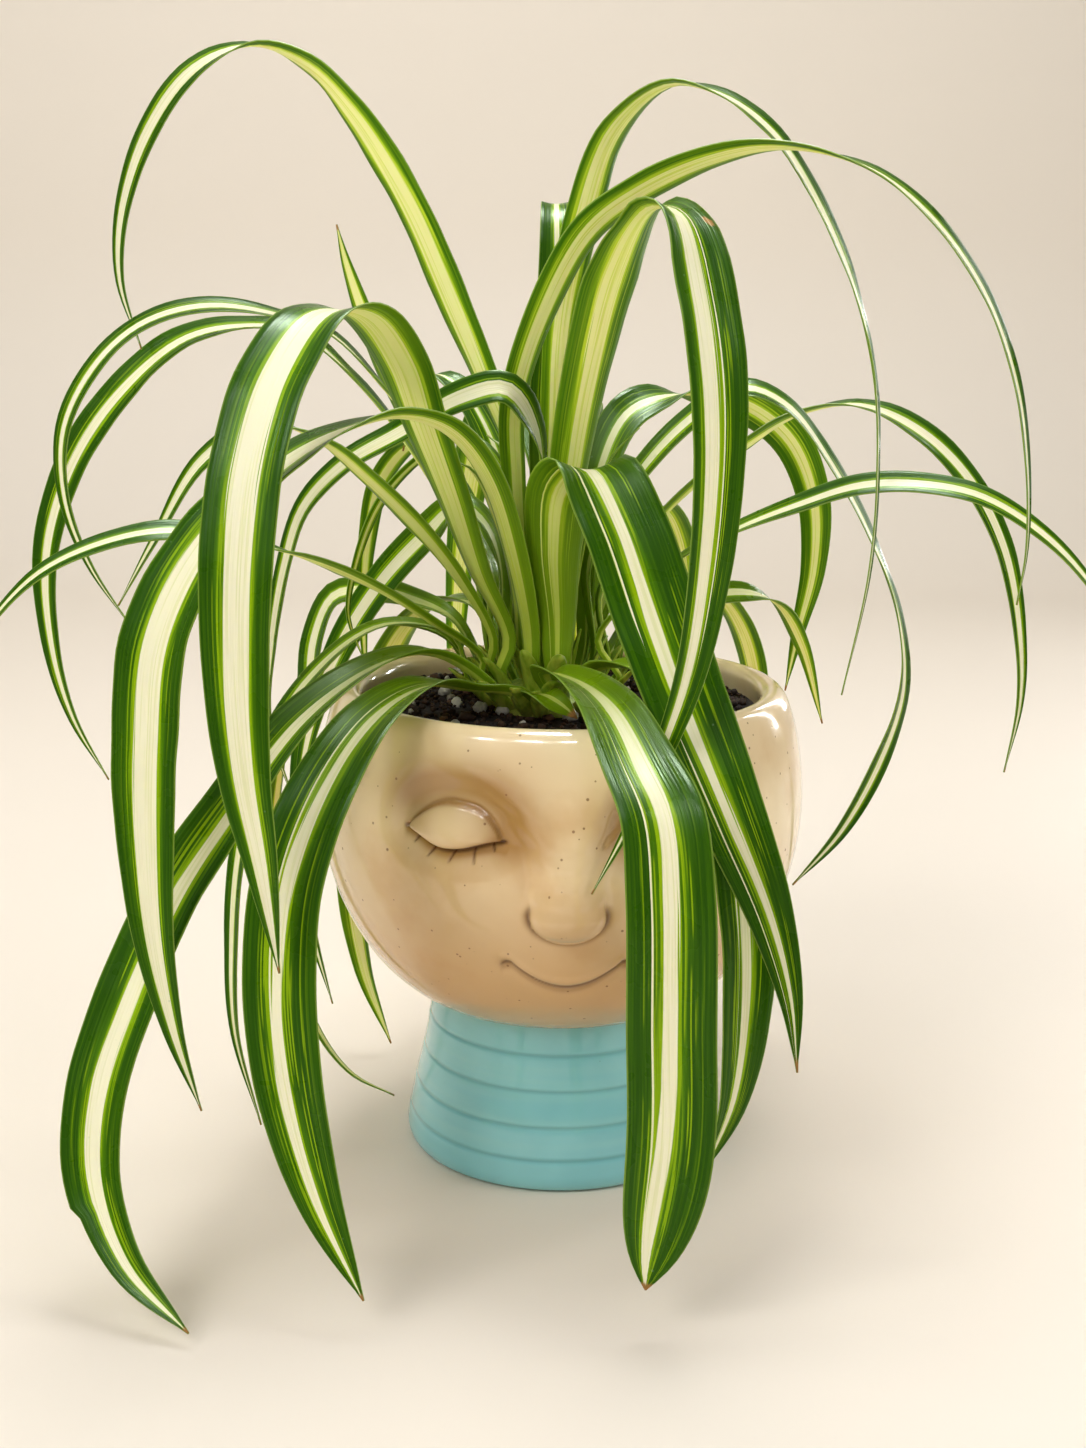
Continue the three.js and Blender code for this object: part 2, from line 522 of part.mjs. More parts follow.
// A long blade with a shallow channel down its middle, closed at the root and at the tip.
function leafBlade(leaf) {
  const [angle, rise] = leaf.from;
  const out = compass(angle, rise);
  const centre = new THREE.Vector3(crown.x, crown.y, crown.z);
  const root = centre.clone().addScaledVector(out, crown.radius + seat);
  const places = leaf.path.map((place) => new THREE.Vector3(...place));
  const rib = new THREE.CatmullRomCurve3([root, root.clone().addScaledVector(out, blade.stem), ...places]);
  const length = rib.getLength();
  const steps = THREE.MathUtils.clamp(Math.round(length / blade.step), blade.fewest, blade.most);
  const shares = Array.from({ length: steps }, (_, k) => k / steps);
  shares.push(1 - blade.lastStep / steps, 1);
  const [steep, shallow] = blade.fold;
  const positions = [];
  const triangles = [];
  for (const t of shares) {
    const along = rib.getTangentAt(t);
    const left = leftAt(leaf, t, along);
    const up = along.clone().cross(left);
    const half = widthAt(leaf, t) / 2;
    const fold = (steep + (shallow - steep) * Math.min(1, t / blade.foldReach)) * degrees;
    const middle = rib.getPointAt(t);
    for (const side of [1, -1]) {
      for (const across of [1, 0, -1]) {
        const lift = Math.abs(across) * half * Math.sin(fold) + (side * blade.thickness) / 2;
        const place = middle.clone()
          .addScaledVector(left, across * half * Math.cos(fold))
          .addScaledVector(up, lift);
        positions.push(place.x, place.y, place.z);
      }
    }
  }
  // each section: 0 1 2 on the upper face and 3 4 5 on the lower, left to right
  const upper = [0, 1, 2];
  const lower = [3, 4, 5];
  for (let i = 0; i + 1 < shares.length; i += 1) {
    const a = i * 6;
    const b = a + 6;
    for (let k = 0; k < 2; k += 1) {
      const flip = k === 0;
      const [u0, u1, l0, l1] = [upper[k], upper[k + 1], lower[k], lower[k + 1]];
      if (flip) {
        triangles.push(a + u0, a + u1, b + u0, a + u1, b + u1, b + u0);
        triangles.push(a + l0, b + l0, a + l1, a + l1, b + l0, b + l1);
      } else {
        triangles.push(a + u0, a + u1, b + u1, a + u0, b + u1, b + u0);
        triangles.push(a + l0, b + l1, a + l1, a + l0, b + l0, b + l1);
      }
    }
    triangles.push(a + 0, b + 0, a + 3, b + 0, b + 3, a + 3);
    triangles.push(a + 2, a + 5, b + 2, b + 2, a + 5, b + 5);
  }
  const end = (shares.length - 1) * 6;
  triangles.push(0, 3, 1, 1, 3, 4, 1, 4, 2, 2, 4, 5);
  triangles.push(end + 0, end + 1, end + 3, end + 1, end + 4, end + 3);
  triangles.push(end + 1, end + 2, end + 4, end + 2, end + 5, end + 4);
  return piece(leaf.name, geometryOf(positions, triangles), colors.leaf, 0.4);
}

// ---- the plant ----------------------------------------------------------------------------

const plant = new THREE.Group();
plant.add(neckBase(), headPot(), soilBody(), crownBody());
for (const leaf of leaves) plant.add(leafBlade(leaf));

export default plant;
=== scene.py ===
import math
import random

import bmesh
import bpy
from mathutils import Matrix, Vector, noise


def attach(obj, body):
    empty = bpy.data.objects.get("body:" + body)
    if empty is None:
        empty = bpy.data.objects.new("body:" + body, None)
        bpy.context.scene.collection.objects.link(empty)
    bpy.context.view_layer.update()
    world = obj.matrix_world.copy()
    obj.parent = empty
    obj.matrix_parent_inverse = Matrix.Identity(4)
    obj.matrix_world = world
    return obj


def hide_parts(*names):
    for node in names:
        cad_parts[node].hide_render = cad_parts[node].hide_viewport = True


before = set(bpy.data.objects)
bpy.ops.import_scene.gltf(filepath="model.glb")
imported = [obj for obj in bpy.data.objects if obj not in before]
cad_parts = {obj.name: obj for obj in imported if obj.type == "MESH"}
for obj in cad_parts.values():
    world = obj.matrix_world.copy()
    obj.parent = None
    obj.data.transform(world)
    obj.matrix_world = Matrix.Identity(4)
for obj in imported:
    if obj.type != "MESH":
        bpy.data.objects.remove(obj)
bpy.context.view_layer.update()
scene = bpy.context.scene
scene.view_settings.view_transform = "Standard"
mm = 0.001
wholeTurn = 6.3  # in radians, near enough for what is drawn at random
print("frame loaded:", len(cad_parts), "nodes")


# small helpers

def smoothstep(low, high, value):
    share = min(max((value - low) / (high - low), 0), 1)
    return share * share * (3 - 2 * share)


def bell(value):
    return math.exp(-value * value)


def stroke(mark, value):
    # a soft mark, given as its strength, place and half width
    strength, place, wide = mark
    return strength * bell((value - place) / wide)


def between(table, value):
    # a value read off a short table of (place, value) with soft steps between
    for (a, first), (b, second) in zip(table, table[1:]):
        if value <= b:
            return first + (second - first) * smoothstep(a, b, value)
    return table[-1][1]


def compass(angle, rise):
    flat = math.cos(math.radians(rise))
    angle = math.radians(angle)
    return Vector((flat * math.cos(angle), flat * math.sin(angle), math.sin(math.radians(rise))))


def splinePoint(p0, p1, p2, p3, share, power):
    # one stretch of a Catmull-Rom curve, uniform for power 0 and centripetal for power 0.5
    d0 = max((p1 - p0).length, 1e-4) ** power
    d1 = max((p2 - p1).length, 1e-4) ** power
    d2 = max((p3 - p2).length, 1e-4) ** power
    start = ((p1 - p0) / d0 - (p2 - p0) / (d0 + d1) + (p2 - p1) / d1) * d1
    end = ((p2 - p1) / d1 - (p3 - p1) / (d1 + d2) + (p3 - p2) / d2) * d1
    s2 = share * share
    s3 = s2 * share
    return (p1 * (2 * s3 - 3 * s2 + 1) + p2 * (3 * s2 - 2 * s3)
            + start * (s3 - 2 * s2 + share) + end * (s3 - s2))


def smoothLine(points, power=0.5, fine=24):
    # a dense smooth line through the points
    points = [Vector(p) for p in points]
    ends = [points[0] * 2 - points[1]] + points + [points[-1] * 2 - points[-2]]
    line = []
    for k in range(len(points) - 1):
        line += [splinePoint(*ends[k:k + 4], i / fine, power) for i in range(fine)]
    return line + [points[-1]]


def lengths(line):
    reach = [0]
    for a, b in zip(line, line[1:]):
        reach.append(reach[-1] + (b - a).length)
    return reach


def placesAt(line, wanted):
    # the places on a dense line at the wanted distances from its start, in rising order
    reach = lengths(line)
    places = []
    k = 0
    for want in wanted:
        while k < len(line) - 2 and reach[k + 1] < want:
            k += 1
        share = (want - reach[k]) / max(reach[k + 1] - reach[k], 1e-9)
        places.append(line[k].lerp(line[k + 1], min(share, 1)))
    return places


def newObject(name, bm, materials, size=mm):
    mesh = bpy.data.meshes.new(name)
    bm.to_mesh(mesh)
    bm.free()
    mesh.transform(Matrix.Scale(size, 4))
    mesh.shade_smooth()
    for material in materials:
        mesh.materials.append(material)
    made = bpy.data.objects.new(name, mesh)
    scene.collection.objects.link(made)
    return made


def finishPiece(name, bm, materials, slot, *nodes):
    piece = newObject(name, bm, materials)
    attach(piece, "root")
    if nodes:
        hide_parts(*nodes)
    return piece


def thicken(piece, thickness):
    shell = piece.modifiers.new("thickness", "SOLIDIFY")
    shell.thickness = thickness * mm
    shell.offset = 0
    return shell


def addTo(whole, part):
    # moves a small bmesh into a large one, since operators slow down as a bmesh grows
    mesh = bpy.data.meshes.new("part")
    part.to_mesh(mesh)
    part.free()
    whole.from_mesh(mesh)
    bpy.data.meshes.remove(mesh)


def spun(profile, sectors, start=0):
    # a closed body of revolution from (radius, height) rows, with (degrees, steps) for each sector
    bm = bmesh.new()
    for sweep, steps in sectors:
        sector = bmesh.new()
        turn = math.radians(start)
        verts = [sector.verts.new((r * math.sin(turn), -r * math.cos(turn), z)) for r, z in profile]
        edges = [sector.edges.new(pair) for pair in zip(verts, verts[1:])]
        bmesh.ops.spin(sector, geom=verts + edges, cent=(0, 0, 0), axis=(0, 0, 1), dvec=(0, 0, 0),
                       angle=math.radians(sweep), steps=steps, use_duplicate=False)
        addTo(bm, sector)
        start += sweep
    bmesh.ops.remove_doubles(bm, verts=bm.verts, dist=0.01)
    bmesh.ops.recalc_face_normals(bm, faces=bm.faces)
    return bm


# helpers for shader nodes

def colour(red, green, blue):
    # a screen colour, 0 to 255, as the shader wants it
    def channel(value):
        value /= 255
        return value / 12.92 if value <= 0.04045 else ((value + 0.055) / 1.055) ** 2.4
    return channel(red), channel(green), channel(blue), 1


def isSocket(value):
    return isinstance(value, bpy.types.NodeSocket)


def plug(socket, value):
    if isSocket(value):
        socket.id_data.links.new(value, socket)
    else:
        socket.default_value = value


def addNode(owner, kind, inputs=None, **settings):
    # a new node in the tree that the owner, a node or a socket, belongs to
    node = owner.id_data.nodes.new("ShaderNode" + kind)
    for key, value in settings.items():
        setattr(node, key, value)
    for key, value in (inputs or {}).items():
        plug(node.inputs[key], value)
    return node


def calc(operation, *values):
    owner = next(value for value in values if isSocket(value))
    return addNode(owner, "Math", dict(enumerate(values)), operation=operation).outputs[0]


def times(first, second):
    return calc("MULTIPLY", first, second)


def plus(first, second):
    return calc("ADD", first, second)


def minus(first, second):
    return calc("SUBTRACT", first, second)


def ramp(value, low, high, start=0.0, end=1.0):
    inputs = {"Value": value, "From Min": low, "From Max": high, "To Min": start, "To Max": end}
    return addNode(value, "MapRange", inputs, interpolation_type="SMOOTHSTEP").outputs["Result"]


def mixed(share, first, second):
    return addNode(share, "Mix", {0: share, 6: first, 7: second}, data_type="RGBA").outputs[2]


def point(x, y, z):
    # x has to be a socket
    return addNode(x, "CombineXYZ", {0: x, 1: y, 2: z}).outputs[0]


def heightOf(place):
    return addNode(place, "SeparateXYZ", {0: place}).outputs[2]


def cloud(place, scale=1.0, detail=2.0):
    inputs = {"Vector": place, "Scale": scale, "Detail": detail}
    return addNode(place, "TexNoise", inputs).outputs["Fac"]


def stretched(place, scale):
    return addNode(place, "Mapping", {"Vector": place, "Scale": scale}).outputs[0]


def attribute(shader, name):
    return addNode(shader, "Attribute", attribute_name=name).outputs["Fac"]


def openGroup(name, inputs, outputs):
    tree = bpy.data.node_groups.new(name, "ShaderNodeTree")
    kinds = {"float": "NodeSocketFloat", "colour": "NodeSocketColor", "vector": "NodeSocketVector"}
    for label, kind in inputs.items():
        tree.interface.new_socket(label, in_out="INPUT", socket_type=kinds[kind])
    for label, kind in outputs.items():
        tree.interface.new_socket(label, in_out="OUTPUT", socket_type=kinds[kind])
    given = tree.nodes.new("NodeGroupInput").outputs
    result = tree.nodes.new("NodeGroupOutput").inputs
    return tree, given, result


def placeGroup(owner, group, inputs):
    node = addNode(owner, "Group", node_tree=group)
    for key, value in inputs.items():
        plug(node.inputs[key], value)
    return node.outputs


def newMaterial(name, **plain):
    material = bpy.data.materials.new(name)
    material.use_nodes = True
    shader = material.node_tree.nodes["Principled BSDF"]
    for key, value in plain.items():
        shader.inputs[key.replace("_", " ")].default_value = value
    return material, shader, addNode(shader, "TexCoord").outputs["Object"]


def paint(shader, skin, roughness):
    plug(shader.inputs["Base Color"], skin)
    plug(shader.inputs["Roughness"], roughness)


def addBump(shader, height, distance, strength):
    inputs = {"Height": height, "Distance": distance, "Strength": strength}
    plug(shader.inputs["Normal"], addNode(shader, "Bump", inputs).outputs[0])


# shared effects

# what each point of a blade carries for its finish
bladeMarks = ("across", "along", "wide", "seed", "cream", "shift", "extra", "dry")

# screen colours of a blade from above, then from below
bladeColours = {
    "Stripe": ((246, 241, 206), (252, 251, 170)),
    "Stripe Line": ((234, 232, 182), (232, 238, 120)),
    "Band": ((146, 180, 10), (204, 222, 52)),
    "Green": ((76, 122, 2), (138, 178, 14)),
    "Margin": ((40, 80, 0), (66, 114, 0)),
    "Root": ((182, 198, 70), (186, 202, 66)),
    "Root Green": ((116, 148, 14), (124, 156, 20)),
    "Rim": ((150, 178, 70), (172, 192, 70)),
    "Dry Color": ((172, 126, 70), (172, 126, 70)),
}

veins = {
    "broad": (0.7, 3.7),  # width in mm, and how far apart the shades of two veins are drawn
    "fine": (0.42, 5.3),
    "ridge": 0.55,
    "change": 55.0,  # mm over which a shade changes
    "seed": 7.31,
    "line": 0.024,  # half width of the thin pale line, as a share
    "root": (10.0, 105.0),  # mm over which the root's colour ends
}


# lengthwise stripes of a blade: each vein keeps its own shade, which changes slowly along it
def bladeStripesGroup():
    numbers = [mark.title() for mark in bladeMarks] + ["Streaks"]
    tree, given, result = openGroup(
        "bladeStripes", {**dict.fromkeys(numbers, "float"), **dict.fromkeys(bladeColours, "colour")},
        {"Color": "colour", "Pale": "float", "Ridges": "float"})
    offset = times(given["Across"], times(given["Wide"], 0.5))
    seed = times(given["Seed"], veins["seed"])
    slow = calc("DIVIDE", given["Along"], veins["change"])

    def veinShade(width, spread):
        vein = calc("FLOOR", calc("DIVIDE", offset, width))
        return cloud(point(times(vein, spread), slow, seed), 1.0, 1.0)

    broad = veinShade(*veins["broad"])
    fine = veinShade(*veins["fine"])
    drift = cloud(point(calc("SIGN", offset), slow, seed), 0.7, 1.0)
    beyond = minus(calc("ABSOLUTE", minus(given["Across"], given["Shift"])), given["Cream"])
    far = calc("ABSOLUTE", given["Across"])
    jitter = minus(broad, 0.5)
    edge = plus(beyond, times(jitter, 0.22))
    edge = plus(edge, times(minus(drift, 0.5), 0.12))
    pale = ramp(edge, -0.012, 0.012, 1.0, 0.0)
    # a thin pale line beside the stripe, where Extra gives its place
    lineOff = calc("ABSOLUTE", minus(given["Across"], given["Extra"]))
    lineWide = times(ramp(drift, 0.36, 0.5), veins["line"])
    lineThere = calc("GREATER_THAN", calc("ABSOLUTE", given["Extra"]), 0.01)
    pale = calc("MAXIMUM", pale, times(calc("LESS_THAN", lineOff, lineWide), lineThere))
    bandEdge = plus(beyond, times(jitter, 0.5))
    band = ramp(bandEdge, 0.05, 0.13, 1.0, 0.0)
    green = ramp(plus(bandEdge, times(fine, 0.2)), 0.16, 0.42, 1.0, 0.0)
    lines = ramp(fine, 0.42, 0.62)
    margin = mixed(times(lines, 0.35), given["Margin"], given["Green"])
    skin = mixed(green, margin, given["Green"])
    skin = mixed(times(band, ramp(fine, 0.3, 0.6, 0.55, 1.0)), skin, given["Band"])
    # single bright veins between the stripe and the margins
    inner = times(ramp(far, 0.45, 0.8, 1.0, 0.0), given["Streaks"])
    skin = mixed(times(ramp(fine, 0.58, 0.64), inner), skin, given["Band"])
    cream = mixed(ramp(fine, 0.5, 0.66), given["Stripe"], given["Stripe Line"])
    skin = mixed(pale, skin, cream)
    # pale and plain near the root
    base = mixed(pale, given["Root Green"], given["Root"])
    skin = mixed(ramp(given["Along"], *veins["root"], 0.95, 0.0), skin, base)
    # a pale line along the edge: the blade's paler edge, partly painted highlight where it catches the
    # light
    skin = mixed(times(ramp(far, 0.95, 0.985), 0.5), skin, given["Rim"])
    dry = plus(given["Dry"], times(jitter, 0.5))
    skin = mixed(ramp(dry, 0.25, 0.6), skin, given["Dry Color"])
    ridges = cloud(point(calc("DIVIDE", offset, veins["ridge"]), slow, seed), 1.0, 2.0)
    plug(result["Color"], skin)
    plug(result["Pale"], pale)
    plug(result["Ridges"], ridges)
    return tree


# small round marks at random places, as in a speckled glaze
def specklesGroup():
    tree, given, result = openGroup(
        "speckles", {"Place": "vector", "Spacing": "float", "Size": "float", "Share": "float"},
        {"Mask": "float"})
    scale = calc("DIVIDE", 1.0, given["Spacing"])
    cells = addNode(scale, "TexVoronoi", {"Vector": given["Place"], "Scale": scale})
    draw = addNode(cells, "SeparateColor", {0: cells.outputs["Color"]})
    size = calc("DIVIDE", given["Size"], given["Spacing"])
    size = times(size, ramp(draw.outputs[0], 0.0, 1.0, 0.4, 1.0))
    dot = ramp(minus(1.0, calc("DIVIDE", cells.outputs["Distance"], size)), 0.0, 0.4)
    chosen = calc("LESS_THAN", draw.outputs[1], given["Share"])
    plug(result["Mask"], times(dot, chosen))
    return tree


bladeStripes = bladeStripesGroup()
speckles = specklesGroup()


def specks(place, spacing, size, share):
    # spacing and size in mm
    inputs = {"Place": place, "Spacing": spacing * mm, "Size": size * mm, "Share": share}
    return placeGroup(place, speckles, inputs)["Mask"]


print("shared effects made")


# leaf finishes

def leafMaterial(name, below, roughness, glow, wide, streaks):
    material, shader, place = newMaterial(
        name, IOR=1.45, Specular_IOR_Level=0.24, Specular_Tint=(0.8, 1, 0.75, 1),
        Subsurface_Weight=glow, Subsurface_Scale=0.001)
    shader.inputs["Subsurface Radius"].default_value = (0.7, 1.0, 0.1)
    inputs = {mark.title(): attribute(shader, mark) for mark in bladeMarks}
    inputs["Cream"] = times(inputs["Cream"], wide)
    inputs["Streaks"] = streaks
    inputs.update({label: colour(*shades[below]) for label, shades in bladeColours.items()})
    stripes = placeGroup(shader, bladeStripes, inputs)
    dull = cloud(place, 90.0, 3.0)
    dusted = times(specks(place, 3.5, 0.5, 0.3), ramp(dull, 0.5, 0.7, 0.0, 0.35))
    skin = mixed(dusted, stripes["Color"], colour(150, 176, 140))
    rough = ramp(dull, 0.3, 0.7, roughness - 0.06, roughness + 0.08)
    paint(shader, skin, plus(rough, times(stripes["Pale"], 0.12)))
    addBump(shader, stripes["Ridges"], 0.00025, 0.7)
    return material


# the pale zone is wider underneath
leafTop = leafMaterial("leafTop", 0, 0.3, 0.1, 0.9, 0.8)
leafUnder = leafMaterial("leafUnder", 1, 0.48, 0.3, 1.1, 0.6)


def leafEdgeMaterial():
    material, shader, place = newMaterial("leafEdge")
    skin = mixed(cloud(place, 120.0), colour(96, 136, 24), colour(150, 176, 60))
    paint(shader, skin, 0.5)
    return material


leafEdge = leafEdgeMaterial()


# leaves

# start: compass angle and steepness at the root, degrees
# width: greatest width, mm
# path: places of the midrib, mm
# side: compass angles of its left edge from root to tip, in a pair with its slope where it isn't level
# turn: share of the length and turn of the blade there, where 0 shows its top to the camera
# root: width at the root, a share of the width
# widest: share of the length at which it is widest
# point: fullness of the outer half
# cream, shift: half width and place of the pale stripe, as shares, the shift from root to tip
# extra: place of a thin pale line
# tear: share along, side and depth of a torn edge
# scar: share along, place across and size of a dried mark
# dryTip: length of the dried tip

